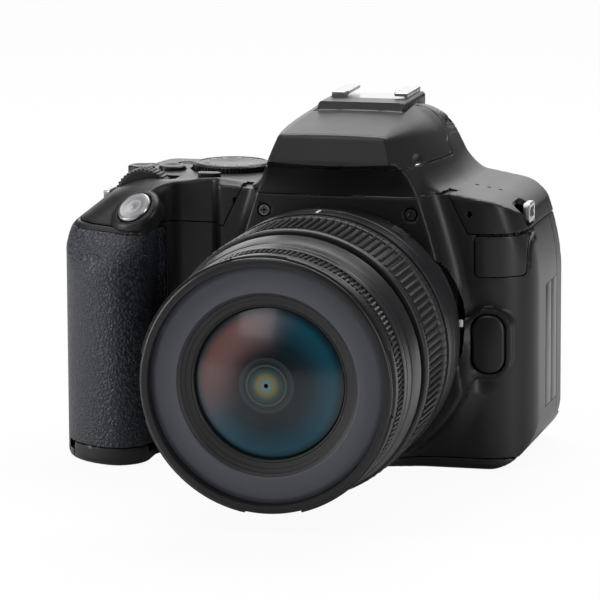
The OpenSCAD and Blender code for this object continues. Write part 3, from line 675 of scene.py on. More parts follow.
def turned(name, profile, at, axis, steps=144, arc=None):
    """Closed outline of (distance along the axis, radius) in mm turned round an axis through at."""
    axis = np.array(axis, float) / np.linalg.norm(axis)
    side = np.cross(axis, (0, 0, 1) if abs(axis[2]) < 0.9 else (1, 0, 0))
    side /= np.linalg.norm(side)
    other = np.cross(axis, side)
    a0, a1 = arc or (0, 360)
    full = arc is None
    n = steps if full else steps + 1
    angle = np.radians(a0 + (a1 - a0) * np.arange(n) / steps)
    prof = np.array(profile, float)
    m = len(prof)
    pts = (np.array(at) + prof[None, :, 0, None] * axis
           + prof[None, :, 1, None] * (np.cos(angle)[:, None, None] * side + np.sin(angle)[:, None, None] * other))
    vertex = pts.reshape(-1, 3)
    faces = []
    for i in range(n if full else n - 1):
        j = (i + 1) % n
        for k in range(m):
            l = (k + 1) % m
            faces.append((i * m + k, j * m + k, j * m + l, i * m + l))
    if not full:
        faces += [tuple(range(m)), tuple((n - 1) * m + k for k in reversed(range(m)))]
    return tidy(mesh_from(name, vertex, faces, SMOOTH))


def tidy(obj):
    """Merges doubles, drops thin faces at the axis and turns the faces outwards."""
    bm = bmesh.new()
    bm.from_mesh(obj.data)
    bmesh.ops.remove_doubles(bm, verts=bm.verts, dist=1e-7)
    bmesh.ops.dissolve_degenerate(bm, edges=bm.edges, dist=1e-8)
    bmesh.ops.recalc_face_normals(bm, faces=bm.faces)
    bm.to_mesh(obj.data)
    bm.free()
    shaded(obj.data)
    return obj


def outline(points, r=0.3, steps=3):
    """Outline with its corners rounded to at most radius r."""
    pts = [np.array(p, float) for p in points]
    out = []
    for i, p in enumerate(pts):
        a, b = pts[i - 1] - p, pts[(i + 1) % len(pts)] - p
        la, lb = np.linalg.norm(a), np.linalg.norm(b)
        reach = min(r, la * 0.45, lb * 0.45)
        s, e = p + a / la * reach, p + b / lb * reach
        for k in range(steps + 1):
            t = k / steps
            out.append((1 - t) ** 2 * s + 2 * t * (1 - t) * p + t * t * e)
    return out


def join(name, *objects):
    """One piece from several objects at the origin."""
    bm = bmesh.new()
    for o in objects:
        bm.from_mesh(o.data)
        bpy.data.objects.remove(o)
    return linked(name, shaded(mesh_of(name, bm)))


def refine(node_name, width, segments=2):
    """Copy of a frame node with its edges rounded to width mm."""
    bm = bmesh.new()
    bm.from_mesh(frame["nodes"][node_name].data)
    bmesh.ops.remove_doubles(bm, verts=bm.verts, dist=2e-6)
    bmesh.ops.dissolve_limit(bm, angle_limit=math.radians(1.5), verts=bm.verts, edges=bm.edges)
    obj = linked(node_name + "_piece", mesh_of(node_name + "_piece", bm))
    b = obj.modifiers.new("Rounding", "BEVEL")
    b.width = width * MM
    b.segments = segments
    b.limit_method = "ANGLE"
    b.angle_limit = math.radians(28.0)
    b.use_clamp_overlap = True
    return settle(obj)


def settle(obj):
    """Applies an object's modifiers to a plain mesh and removes them."""
    bpy.context.view_layer.update()
    dg = bpy.context.evaluated_depsgraph_get()
    mesh = bpy.data.meshes.new_from_object(obj.evaluated_get(dg))
    obj.modifiers.clear()
    obj.data = shaded(mesh)
    return obj


def slab_piece(name, low, high, r):
    """Bar with rounded edges between two corners in mm."""
    bm = bmesh.new()
    bmesh.ops.create_cube(bm, size=1.0)
    for v in bm.verts:
        for i in range(3):
            v.co[i] = ((low[i] + high[i]) / 2 + v.co[i] * (high[i] - low[i])) * MM
    bmesh.ops.bevel(bm, geom=bm.edges, offset=r * MM, segments=2, affect="EDGES", profile=0.5)
    return tidy(linked(name, mesh_of(name, bm)))


# ---------------------------------------------------------- geometry nodes


def geometry_tree(name, inputs):
    """Tree with its own inputs and the ones that close_tree reads."""
    t = bpy.data.node_groups.new(name, "GeometryNodeTree")
    shared = (("Centre", "NodeSocketVector", (0, 0, 0)), ("Turn", "NodeSocketVector", (0, 0, 0)),
              ("Finish", "NodeSocketMaterial", None))
    for label, kind, value in (("Geometry", "NodeSocketGeometry", None),) + inputs + shared:
        socket(t, label, "INPUT", kind, value)
    socket(t, "Geometry", "OUTPUT", "NodeSocketGeometry")
    return t, t.nodes.new("NodeGroupInput").outputs, t.nodes.new("NodeGroupOutput")


def close_tree(t, i, o, instances):
    """Realizes, turns and places the instances, and gives them their finish."""
    real = node(t, "GeometryNodeRealizeInstances", Geometry=instances)
    move = node(t, "GeometryNodeTransform", Geometry=real.outputs["Geometry"], Rotation=i["Turn"],
                Translation=i["Centre"])
    smooth = node(t, "GeometryNodeSetShadeSmooth", Geometry=move.outputs["Geometry"])
    paint = node(t, "GeometryNodeSetMaterial", Geometry=smooth.outputs["Geometry"], Material=i["Finish"])
    fill(t, o, {"Geometry": paint.outputs["Geometry"]})
    return t


def make_rib_tree():
    """Rounded ribs standing round an axis."""
    t, i, o = geometry_tree("Ribs Round Axis", (
        ("Count", "NodeSocketInt", 60), ("Radius", "NodeSocketFloat", 0.03), ("Width", "NodeSocketFloat", 0.001),
        ("Height", "NodeSocketFloat", 0.001), ("Length", "NodeSocketFloat", 0.01), ("Sides", "NodeSocketInt", 10)))
    circle = node(t, "GeometryNodeMeshCircle", Vertices=i["Count"], Radius=i["Radius"])
    rib = node(t, "GeometryNodeMeshCylinder", Vertices=i["Sides"], Radius=0.5, Depth=1.0)
    size = node(t, "ShaderNodeCombineXYZ", {0: i["Height"], 1: i["Width"], 2: i["Length"]})
    step = node(t, "ShaderNodeMath", {0: 2 * math.pi, 1: i["Count"]}, operation="DIVIDE")
    turn = times(t, node(t, "GeometryNodeInputIndex").outputs[0], step.outputs[0])
    place = node(t, "GeometryNodeInstanceOnPoints", Points=circle.outputs["Mesh"], Instance=rib.outputs["Mesh"],
                 Rotation=node(t, "ShaderNodeCombineXYZ", {2: turn}).outputs[0], Scale=size.outputs[0])
    return close_tree(t, i, o, place.outputs["Instances"])


def make_screw_tree():
    """Domed cross-head screws on the points of the mesh it is given, facing Z before they are turned."""
    t, i, o = geometry_tree("Cross Head Screws", (
        ("Head", "NodeSocketFloat", 0.0016), ("Depth", "NodeSocketFloat", 0.0007)))
    head = node(t, "GeometryNodeMeshCone", {"Radius Bottom": i["Head"], "Radius Top": times(t, i["Head"], 0.82)},
                Vertices=32, Depth=i["Depth"])
    long, wide = times(t, i["Head"], 1.15), times(t, i["Head"], 0.26)
    up = node(t, "ShaderNodeCombineXYZ", {2: i["Depth"]})
    cut_out = node(t, "GeometryNodeMeshBoolean", {"Mesh 1": head.outputs["Mesh"]}, operation="DIFFERENCE")
    for along, across in ((wide, long), (long, wide)):
        size = node(t, "ShaderNodeCombineXYZ", {0: along, 1: across, 2: i["Depth"]})
        bar = node(t, "GeometryNodeMeshCube", Size=size.outputs[0])
        lift = node(t, "GeometryNodeTransform", Geometry=bar.outputs["Mesh"], Translation=up.outputs[0])
        fill(t, cut_out, {"Mesh 2": lift.outputs["Geometry"]})
    points = node(t, "GeometryNodeMeshToPoints", Mesh=i["Geometry"])
    place = node(t, "GeometryNodeInstanceOnPoints", Points=points.outputs["Points"], Instance=cut_out.outputs["Mesh"])
    return close_tree(t, i, o, place.outputs["Instances"])


TREES = {}


def grown(name, tree_name, points=(), **values):
    """Plain mesh object grown by a node tree from its named inputs."""
    mesh = bpy.data.meshes.new(name)
    mesh.from_pydata([tuple(v * MM for v in p) for p in points], [], [])
    obj = linked(name, mesh)
    m = obj.modifiers.new("Growth", "NODES")
    m.node_group = TREES[tree_name]
    for item in m.node_group.interface.items_tree:
        if item.item_type == "SOCKET" and item.in_out == "INPUT" and item.name in values:
            m[item.identifier] = values[item.name]
    return settle(obj)


def ribs(name, slot_name, count, radius, width, height, length, at, upright=False, sides=10):
    """Ribs round an axis through at, along Y or upright; sizes in mm."""
    return grown(name, "Ribs Round Axis", Count=count, Radius=radius * MM, Width=width * MM, Height=height * MM,
                 Length=length * MM, Sides=sides, Centre=tuple(v * MM for v in at),
                 Turn=(0.0 if upright else math.pi / 2, 0.0, 0.0), Finish=MATERIAL[slot_name])


def screws(name, points, head, depth, centre, turn):
    """Screws at points of a plane that is turned about X and moved to centre; sizes in mm."""
    return grown(name, "Cross Head Screws", points, Head=head * MM, Depth=depth * MM,
                 Centre=tuple(v * MM for v in centre), Turn=(turn, 0.0, 0.0), Finish=MATERIAL["screw_steel"])


# ---------------------------------------------------------------- operators


def settings():
    return bpy.context.scene.reflex_camera


class FinishOperator(bpy.types.Operator):
    """Shared options of the build steps."""

    bl_options = {"REGISTER", "UNDO"}


class CAMERA_OT_finishes(FinishOperator):
    """Makes the shader groups, the materials and the node trees, and gives the frame nodes their finishes."""

    bl_idname = "reflex_camera.finishes"
    bl_label = "Finishes"

    def execute(self, context):
        MATERIAL.update(make_materials(settings()))
        TREES.update({"Ribs Round Axis": make_rib_tree(), "Cross Head Screws": make_screw_tree()})
        slots = {entry["node"]: entry["material_slot"] for entry in frame["record"]["subparts"]}
        for name, obj in frame["nodes"].items():
            obj.data.materials.clear()
            obj.data.materials.append(MATERIAL[slots[name]])
        return {"FINISHED"}


def walled(b, zone):
    """Body wall inside a zone."""
    return meet(b, zone, -(b + settings().wall))


def bezel_zone(p):
    """Frame round the lens mount, which belongs to the front cover."""
    return meet(side_plane(p) - 2.6, p[2] - SEAM_Z, p[1] + 18)


def rear_zone(p):
    x, y, z = p
    return np.maximum(SPLIT_Y - y, np.minimum(z - SPLIT_Z, np.maximum(abs(x) - EYE_HALF, z - EYE_TOP)))


def rubber_room(p, b):
    """Recess of the rubber skins."""
    return np.maximum(np.minimum(grip_zone(p), thumb_zone(p)) - SEAM, -(b + SKIN))


def lug_pocket(p):
    """Hollows that the strap lugs stand in."""
    right = slab(p, (PORT_X - 7.5, -16, 61.8), (PORT_X + 6, -4, 68.6), 2.4)
    left = slab(p, (GRIP_X - 6, -16, 61.8), (GRIP_X + 7, -4, 68.6), 2.4)
    return np.minimum(right, left)


def node_room(p, name, axis, grow=0.25, r=None):
    """Hole with the outline of a frame node, running along an axis."""
    a, b = lo(name) - grow, hi(name) + grow
    u, v = [i for i in range(3) if i != axis]
    w, h = b[u] - a[u], b[v] - a[v]
    return lozenge(p[u], p[v], (a[u] + b[u]) / 2, (a[v] + b[v]) / 2, w, h, min(w, h) / 2 - 0.01 if r is None else r)


def port_room(p):
    """Depth and height of the opening behind the port doors."""
    x, y, z = p
    return PORT_X - x, y - 10.9, 12.9 - z, z - 45.1


def plate_outline(p):
    return lozenge(p[0], p[2], 40.0, 55.2, 12.6, 10.7, 1.4)


def front_field(p):
    """Front cover with the rooms of the rubber, mount, release button, name plate, ports, screws and lugs."""
    x, y, z = p
    b = body(p)
    top = np.minimum(z - SPLIT_Z + SEAM, bezel_zone(p) + SEAM)
    depth, rear, low, high = port_room(p)
    d = cut(walled(b, meet(y - SPLIT_Y + SEAM, top, base_top(x) + SEAM - z)), rubber_room(p, b),
            np.maximum(np.hypot(x, z - AXIS_Z) - 31.8, y + 8),
            np.maximum(node_room(p, "release_button", 1, 0.3, 4.0), y + 15),
            meet(plate_outline(p), -(b + SKIN), y + 10), meet(depth - 1.9, -4.1 - y, rear, low, high))
    for side in (-1, 1):
        d = cut(d, rod(p, (side * BEZEL_SCREW[0], 0, BEZEL_SCREW[1]), 1, 1.85, -40, BEZEL_Y + 0.9))
    return cut(d, lug_pocket(p))


def shutter_frame(p):
    """Distance along and away from the shutter button's axis."""
    q = [p[i] - SHUTTER_AT[i] for i in range(3)]
    n = SHUTTER_N / np.linalg.norm(SHUTTER_N)
    t = q[0] * n[0] + q[1] * n[1] + q[2] * n[2]
    r = np.sqrt(np.maximum(sum(v * v for v in q) - t * t, 0))
    return t, r


def top_field(p):
    """Top cover with the shoe block, the collar of the shutter button and the rooms of dials and buttons."""
    x, y, z = p
    b = body(p)
    inside = -(b + settings().wall)
    zone = meet(SPLIT_Z + SEAM - z, -(bezel_zone(p) - SEAM), -(rear_zone(p) - SEAM), -(flash_zone(p) - SEAM))
    block = slab(p, (-11.4, -7.6, 84), (11.4, 20, 91.3), 1.0)
    block = np.maximum(block, plane(p, (0, -7.7, 89.3), (0, -0.72, 0.694)))
    block = cut(block, slab(p, (-10.35, 3.4, 89.75), (10.35, 24, 96), 0))
    d = np.maximum(np.minimum(np.maximum(b, inside), np.maximum(block, inside)), zone)
    t, r = shutter_frame(p)
    collar = np.maximum(edge(r - 6.6, t - 0.35, 1.3), -4 - t)
    d = blend(d, np.maximum(collar, inside), 1.2)
    d = cut(d, np.maximum(r - 4.95, -8 - t), slab(p, (-64.9, -15.1, 55), (-47.7, -9.0, 80), 0.8))
    for name in TOP_BUTTONS:
        d = cut(d, np.maximum(node_room(p, name, 2, 0.2), 60 - z))
    for at in (30.4, 33.5, 36.6):
        d = cut(d, rod(p, (at, -5, 0), 2, 0.5, 60, 80))
    for at_x, at_z in ((32.4, 66.0), (-28.8, 67.6)):
        d = cut(d, rod(p, (at_x, 0, at_z), 1, 0.75, -40, -15))
    for name in ("menu_button", "view_button"):
        d = cut(d, np.maximum(node_room(p, name, 1), 19 - y))
    return cut(d, np.maximum(np.hypot(x - MODE_AT[0], y - MODE_AT[1]) - 11.0, 70.0 - z), flash_notch(p), lug_pocket(p))


def flash_field(p):
    """Shell of the flash head with its window."""
    b = body(p)
    return cut(meet(b, flash_zone(p) + SEAM, -(b + 1.8)), flash_notch(p),
               slab(p, lo("flash_window") - 0.15, hi("flash_window") + 0.15, 0.3))


def rear_field(p):
    """Rear cover with the room of the screen, the eyepiece, the ports and the buttons."""
    x, y, z = p
    b = body(p)
    d = cut(walled(b, np.maximum(rear_zone(p) + SEAM, base_top(x) + SEAM - z)), rubber_room(p, b))
    room = meet(lo("screen_housing")[0] - 0.4 - x, 17.3 - y, 7.1 - z, z - 63.4)
    d = cut(d, np.maximum(room, x - 60))
    d = np.minimum(d, meet(room - 2.0, 15.4 - y, y - 17.3, x - 39, b + 0.4))
    for name in ("play_button", "delete_button", "cross_pad", "menu_button", "view_button"):
        d = cut(d, np.maximum(node_room(p, name, 1), 15 - y))
    depth, rear, low, high = port_room(p)
    return cut(d, np.maximum(lozenge(x, z, 0, 74.2, 27.6, 16.6, 3), 5 - y), meet(depth - 2.0, rear, low, high),
               slab(p, lo("dioptre_knob") - 0.3, hi("dioptre_knob") + 0.3, 0.2))


def base_field(p):
    """Bottom cover with the rooms of the battery door and the tripod socket."""
    x, y, z = p
    b = body(p)
    a, c = lo("battery_door") - 0.2, hi("battery_door") + 0.2
    d = meet(b, z - base_top(x) + SEAM, -(b + settings().wall))
    d = cut(d, meet(a[0] - x, x - c[0], a[1] - y, y - c[1]))
    return np.maximum(d, 8.15 - np.hypot(x, y))


class CAMERA_OT_covers(FinishOperator):
    """Front, top, rear and bottom covers with their seams, pockets and button holes."""

    bl_idname = "reflex_camera.covers"
    bl_label = "Covers"

    def execute(self, context):
        for name, field, low, high, slot_name in (
                ("front_cover", front_field, (-74, -42.2, 2.5), (48.6, 12, 72), "body_plastic"),
                ("top_cover", top_field, (-74, -42.2, 60.5), (48.6, 24, 92), "body_plastic"),
                ("rear_cover", rear_field, (-74, 10.5, 2.5), (48.6, 24.2, 88), "body_plastic"),
                ("bottom_cover", base_field, (-74, -42.2, -0.3), (48.6, 22.4, 5.2), "base_plastic")):
            finish_piece(mould(name + "_piece", field, low, high), "body", slot_name, name)
        return {"FINISHED"}


class CAMERA_OT_flash(FinishOperator):
    """Pop-up flash head with its window."""

    bl_idname = "reflex_camera.flash"
    bl_label = "Flash"

    def execute(self, context):
        piece = mould("flash_head_piece", flash_field, (-29, -42, 76.5), (29, 9, 91.5))
        finish_piece(piece, "flash", "body_plastic", "flash_head")
        finish_piece(refine("flash_window", 0.4), "flash", "window", "flash_window")
        return {"FINISHED"}


class CAMERA_OT_grip(FinishOperator):
    """Pebbled rubber skins of the grip and the thumb rest."""

    bl_idname = "reflex_camera.grip"
    bl_label = "Grip rubber"

    def execute(self, context):
        def field(p):
            b = body(p)
            return meet(b, np.minimum(grip_zone(p), thumb_zone(p)), -(b + 1.2))
        piece = mould("grip_rubber_piece", field, (-74, -42.2, 4), (-46, 22.4, 62.5))
        finish_piece(piece, "body", "grip_rubber", "grip_rubber")
        return {"FINISHED"}


def lens_part(name, points, r=0.2, corner=3, **values):
    """Outline of (place along the lens axis, radius) in mm turned round that axis."""
    return turned(name, outline(points, r, corner), LENS_AT, Y_AXIS, **values)


class CAMERA_OT_lens(FinishOperator):
    """Lens barrel, ribbed zoom ring, sliding front barrel, focus ring, name ring and glass."""

    bl_idname = "reflex_camera.lens"
    bl_label = "Lens"

    def execute(self, context):
        s = settings()
        barrel = lens_part("lens_barrel_piece", [
            (-78, 27.9), (-78, 31.8), (-55.5, 31.8), (-55.5, 33.95), (-50.2, 33.95), (-49.9, 33.7), (-49.6, 33.95),
            (-42.5, 33.6), (-36.6, 32.7), (-35.7, 32.1), (-35.7, 22.1), (-42, 22.1), (-42, 27.9)], 0.25)
        finish_piece(barrel, "body", "lens_plastic", "lens_barrel")
        core = lens_part("zoom_core", [
            (-79, 31.95), (-79, 33.2), (-78.2, 33.6), (-76.6, 33.6), (-76.2, 32.9), (-59.8, 32.9), (-59.4, 33.6),
            (-56.4, 33.6), (-55.9, 33.2), (-55.9, 31.95)], 0.3)
        core.data.materials.append(MATERIAL["lens_rubber"])
        long_ribs = ribs("zoom_ribs", "lens_rubber", s.ribs, 33.0, 0.95, 1.6, 16.2, (0, -68, AXIS_Z))
        dots = ribs("zoom_dots", "lens_rubber", s.ribs, 33.1, 0.8, 1.3, 1.3, (0, -57.8, AXIS_Z), sides=8)
        finish_piece(join("zoom_ring_piece", core, long_ribs, dots), "zoom_ring", "lens_rubber", "zoom_ring")
        parts = [lens_part("inner_barrel_core", [
            (-107, 29.05), (-107, 30.4), (-106.6, 31.0), (-105.9, 31.1), (-105.7, 30.4), (-103.6, 30.4), (-103.3, 31.3),
            (-101.1, 31.4), (-101, 29.3), (-95.5, 29.3), (-95.4, 31.6), (-92.6, 31.65), (-92.4, 31.3), (-92.1, 31.65),
            (-88.2, 31.65), (-87.9, 31.9), (-82.2, 32.75), (-81.9, 32.5), (-81.9, 27.5), (-65.0, 27.5), (-65.0, 25.6),
            (-102.6, 25.6), (-102.6, 28.6), (-104.3, 28.6), (-104.3, 29.05)], corner=2, steps=192)]
        for start in (12, 100, 192, 280):
            parts.append(lens_part("bayonet_lug", [(-105.9, 30), (-105.9, 31.6), (-104.4, 31.65), (-103.5, 31.4),
                                                   (-103.5, 30)], corner=2, steps=40, arc=(start, start + 62)))
        finish_piece(join("inner_barrel_piece", *parts), "front_barrel", "lens_plastic", "inner_barrel")
        sleeve = lens_part("focus_core", [(-100.8, 29.4), (-100.8, 31.1), (-95.65, 31.1), (-95.65, 29.4)])
        teeth = ribs("focus_teeth", "lens_plastic", s.focus_teeth, 31.1, 0.75, 1.0, 4.4, (0, -98.2, AXIS_Z), sides=8)
        finish_piece(join("focus_ring_piece", sleeve, teeth), "focus_ring", "lens_plastic", "focus_ring")
        name = lens_part("name_ring_piece", [
            (-102.8, 28.4), (-104.5, 28.9), (-104.8, 27.6), (-105.2, 23.0), (-105.2, 22.5), (-104.8, 22.3),
            (-102.8, 22.4)], steps=192)
        finish_piece(name, "front_barrel", "name_ring_plastic", "name_ring")
        baffle = lens_part("front_baffle", [
            (-104.9, 22.35), (-104.3, 21.6), (-103.9, 21.5), (-103.7, 20.6), (-103.3, 20.5), (-103.1, 19.6),
            (-102.9, 19.3), (-103.1, 19.0), (-102.8, 18.7), (-101.4, 18.6), (-99, 18.6), (-99, 25.4), (-102.5, 25.4),
            (-102.6, 22.6)], 0.12, 2, steps=192)
        finish_piece(baffle, "front_barrel", "inner_plastic")
        dome = [(-101.9 - 3.6 * (1 - (r / GLASS_R) ** 2), r) for r in np.linspace(GLASS_R, 0, 18)]
        back = [(-100.2 + 0.9 * (1 - (r / GLASS_R) ** 2), r) for r in np.linspace(0, GLASS_R, 8)]
        lens = turned("front_element_piece", dome + back[1:], LENS_AT, Y_AXIS, steps=160)
        # Colour for each radius in mm: painted reflections of the inner glass and its coatings.
        glass_paint = painted_reflection_glass("Front glass with painted reflections", [
            (0, (0.20, 0.14, 0.26)), (1.2, (0.07, 0.16, 0.13)), (2.4, (0.13, 0.095, 0.03)), (3.3, (0.02, 0.05, 0.045)),
            (4.5, (0.006, 0.014, 0.016)), (4.9, (0.05, 0.06, 0.065)), (5.2, (0.003, 0.008, 0.010)),
            (6.6, (0.02, 0.028, 0.032)), (6.9, (0.002, 0.005, 0.008)), (10.5, (0.002, 0.012, 0.020)),
            (16.5, (0.004, 0.055, 0.085)), (GLASS_R, (0.001, 0.006, 0.009))])
        finish_piece(lens, "front_barrel", "optical_glass", "front_element", material=glass_paint)
        dot = slab_piece("mount_index", (31.7, BEZEL_Y - 0.12, 38.5), (32.6, BEZEL_Y + 0.4, 40.3), 0.1)
        mark = slab_piece("zoom_index", (-0.35, -54.6, AXIS_Z + 33.6), (0.35, -50.6, AXIS_Z + 34.03), 0.1)
        for piece in (dot, mark):
            finish_piece(piece, "body", "control_plastic", material=MATERIAL["mark"])
        finish_piece(refine("mode_switch", 0.3), "mode_switch", "control_plastic", "mode_switch")
        return {"FINISHED"}


class CAMERA_OT_dials(FinishOperator):
    """Mode dial, main dial, shutter button and power lever."""

    bl_idname = "reflex_camera.dials"
    bl_label = "Dials and shutter button"

    def execute(self, context):
        x, y, _ = mid("mode_dial")
        base = lo("mode_dial")[2]
        core = turned("mode_core", outline([
            (base, 0), (base, 2), (70.2, 2), (70.2, 9.9), (70.7, 10.1), (72.3, 10.1), (72.8, 9.6), (72.95, 9.0),
            (72.75, 8.8), (72.75, 0)], 0.15), (x, y, 0), Z_AXIS)
        teeth = ribs("mode_teeth", "control_plastic", settings().dial_teeth, 10.0, 0.62, 0.9, 1.9, (x, y, 71.5), True,
                     8)
        finish_piece(join("mode_dial_piece", core, teeth), "mode_dial", "control_plastic", "mode_dial")
        digits = []
        for k in range(12):
            a = math.radians(30 * k)
            curve = bpy.data.curves.new("digit", "FONT")
            curve.body = str(k + 1)
            curve.size = 2.4 * MM
            curve.extrude = 0.04 * MM
            curve.align_x = curve.align_y = "CENTER"
            label = linked("digit", curve)
            bpy.context.view_layer.update()
            mesh = bpy.data.meshes.new_from_object(label.evaluated_get(bpy.context.evaluated_depsgraph_get()))
            bpy.data.objects.remove(label)
            mesh.transform(Matrix.Translation(((x + 7.1 * math.sin(a)) * MM, (y - 7.1 * math.cos(a)) * MM,
                                               72.78 * MM)) @ Matrix.Rotation(a, 4, "Z"))
            digits.append(linked("digit", mesh))
        finish_piece(join("mode_dial_numbers", *digits), "mode_dial", "control_plastic", material=MATERIAL["mark"])
        centre = mid("main_dial")
        core = turned("main_core", outline([(-2.7, 1.6), (-2.7, 7.2), (-2.2, 7.65), (2.2, 7.65), (2.7, 7.2),
                                            (2.7, 1.6)], 0.2), centre, Y_AXIS, steps=96)
        teeth = ribs("main_teeth", "control_plastic", 44, 7.55, 0.65, 0.85, 5.0, centre, sides=8)
        finish_piece(join("main_dial_piece", core, teeth), "main_dial", "control_plastic", "main_dial")
        button = turned("shutter_button_piece", outline([
            (-5.4, 0), (-5.4, 3.25), (-0.3, 3.25), (-0.2, 4.5), (0.5, 4.65), (1.0, 4.45), (1.15, 3.8), (0.95, 2.2),
            (0.85, 0)], 0.12), SHUTTER_AT, SHUTTER_N, steps=96)
        finish_piece(button, "shutter_button", "brushed_aluminium", "shutter_button")
        finish_piece(refine("power_lever", 0.35, 3), "power_lever", "control_plastic", "power_lever")
        return {"FINISHED"}


class CAMERA_OT_buttons(FinishOperator):
    """Every push button on the top, the front and the back."""

    bl_idname = "reflex_camera.buttons"
    bl_label = "Buttons"

    def execute(self, context):
        for name in TOP_BUTTONS:
            a, b, c = lo(name), hi(name), mid(name)
            r = (b[0] - a[0]) / 2
            piece = turned(name + "_piece", outline([
                (a[2], 0), (a[2], r), (b[2] - 0.35, r), (b[2], r - 0.45), (b[2], r - 0.8), (b[2] - 0.25, r * 0.45),
                (b[2] - 0.3, 0)], 0.15), (c[0], c[1], 0), Z_AXIS, steps=64)
            finish_piece(piece, name, "control_plastic", name)
        for name, width in (("menu_button", 0.4), ("play_button", 0.4), ("delete_button", 0.4), ("view_button", 0.4),
                            ("set_button", 0.5), ("cross_pad", 0.6), ("release_button", 0.8)):
            finish_piece(refine(name, width, 3), name, "control_plastic", name)
        return {"FINISHED"}


def plate_field(p):
    b = body(p)
    return meet(plate_outline(p) + 0.2, b + 0.12, -(b + 1.25), p[1] + 10)


def lug_field(p):
    """Two flat loops on stems, one at each side."""
    x, y, z = p
    loop = cut(lozenge(y, z, -10, 64.9, 7.4, 5.0, 1.2), lozenge(y, z, -10, 64.9, 5.0, 2.6, 0.8))
    loops = np.minimum(np.maximum(loop, abs(x - 45.0) - 0.8), np.maximum(loop, abs(x + 66.6) - 0.8))
    stem_r = slab(p, (PORT_X - 8, -11, 63), (45.8, -9, 63.8), 0.2)
    stem_l = slab(p, (-67.4, -11, 63), (GRIP_X + 9.4, -9, 63.8), 0.2)
    return np.minimum(loops, np.minimum(stem_r, stem_l))


def rail_field(p):
    """Shoe plate with two lips over its sides."""
    x, y, z = p
    top = hi("shoe_rails")[2]
    return cut(slab(p, (-10.2, 3.6, 89.9), (10.2, 19, top), 0.2), meet(abs(x) - 9.3, 90.5 - z, z - top + 0.85),
               np.maximum(abs(x) - 6.1 - 0.6 * (y < 5.5), 90.5 - z))


def door_field(p):
    a, c = lo("battery_door"), hi("battery_door")
    x, y, z = p
    return meet(body(p), a[0] - x, x - c[0], a[1] - y, y - c[1], z - c[2])


def box_field(p):
    """Open box for the battery, trimmed by the cover's rounded corner."""
    a, c = lo("battery_box"), hi("battery_box")
    return np.maximum(cut(slab(p, a, c, 0.3), slab(p, a + (1.4, 1.4, -1), c - (1.5, 8.9, 1.4), 0.3)), body(p) + 1.35)


class CAMERA_OT_fittings(FinishOperator):
    """Hot shoe rails, strap lugs, name plate, screws, doors, screen and eyecup."""

    bl_idname = "reflex_camera.fittings"
    bl_label = "Fittings"

    def execute(self, context):
        for name, width, body_name, slot_name in (
                ("port_door_front", 0.25, "port_door_front", "base_plastic"),
                ("port_door_rear", 0.25, "port_door_rear", "base_plastic"),
                ("battery_latch", 0.25, "battery_catch", "control_plastic"),
                ("screen_housing", 0.6, "screen", "body_plastic"), ("screen_hinge", 0.3, "screen", "control_plastic"),
                ("eyecup", 0.7, "body", "eyecup_rubber"), ("dioptre_knob", 0.15, "dioptre", "control_plastic")):
            finish_piece(refine(name, width), body_name, slot_name, name)
        for name, field, low, high, cell, body_name, slot_name in (
                ("shoe_rails", rail_field, (-10.4, 3.3, 89.7), (10.4, 19.2, 92.8), 0.3, "body", "steel"),
                ("battery_door", door_field, (-73, -42, -0.3), (-44, 4, 3), None, "battery_cover", "base_plastic"),
                ("battery_box", box_field, lo("battery_box"), hi("battery_box"), 0.8, "body", "inner_plastic"),
                ("name_plate", plate_field, (33, -26, 49), (48.5, -10, 61.5), 0.4, "body", "control_plastic"),
                ("strap_lugs", lug_field, (-71, -15, 61), (47, -5, 69), 0.35, "body", "steel")):
            finish_piece(mould(name + "_piece", field, low, high, cell), body_name, slot_name, name)
        x, z = BEZEL_SCREW
        bezel = screws("bezel_screws", [(-x, z, 0), (x, z, 0)], 1.65, 0.7, (0, BEZEL_Y + 0.85, 0), math.pi / 2)
        mount = screws("mount_screws", [(29.9 * math.cos(math.radians(a)), 29.9 * math.sin(math.radians(a)), 0)
                                        for a in range(45, 360, 90)], 1.2, 0.6, (0, -33.6, AXIS_Z), math.pi / 2)
        base = screws("base_screws", [(x, -y, 0) for x, y in ((-38, -14), (-38, 14), (26, -18), (40, 12), (14, 15))],
                      1.6, 0.7, (0, 0, 0.9), math.pi)
        finish_piece(join("screws_piece", bezel, mount, base), "body", "screw_steel", "screws")
        return {"FINISHED"}


def make_floor():
    """Floor that looks white and still takes the shadow."""
    mesh = bpy.data.meshes.new("floor")
    z = -0.0002
    mesh.from_pydata([(-3, -3, z), (3, -3, z), (3, 3, z), (-3, 3, z)], [], [(0, 1, 2, 3)])
    mat = bpy.data.materials.new("Pale floor")
    mat.use_nodes = True
    t = mat.node_tree
    t.nodes.clear()
    diffuse = node(t, "ShaderNodeBsdfDiffuse", Color=(0.8, 0.8, 0.8, 1))
    glow = node(t, "ShaderNodeEmission", Color=(1, 1, 1, 1), Strength=1.0)
    weight = times(t, node(t, "ShaderNodeLightPath").outputs["Is Camera Ray"], 0.94)
    mixer = node(t, "ShaderNodeMixShader", {0: weight, 1: diffuse.outputs[0], 2: glow.outputs[0]})
    node(t, "ShaderNodeOutputMaterial", {0: mixer.outputs[0]})
    mesh.materials.append(mat)
    linked("floor", mesh)


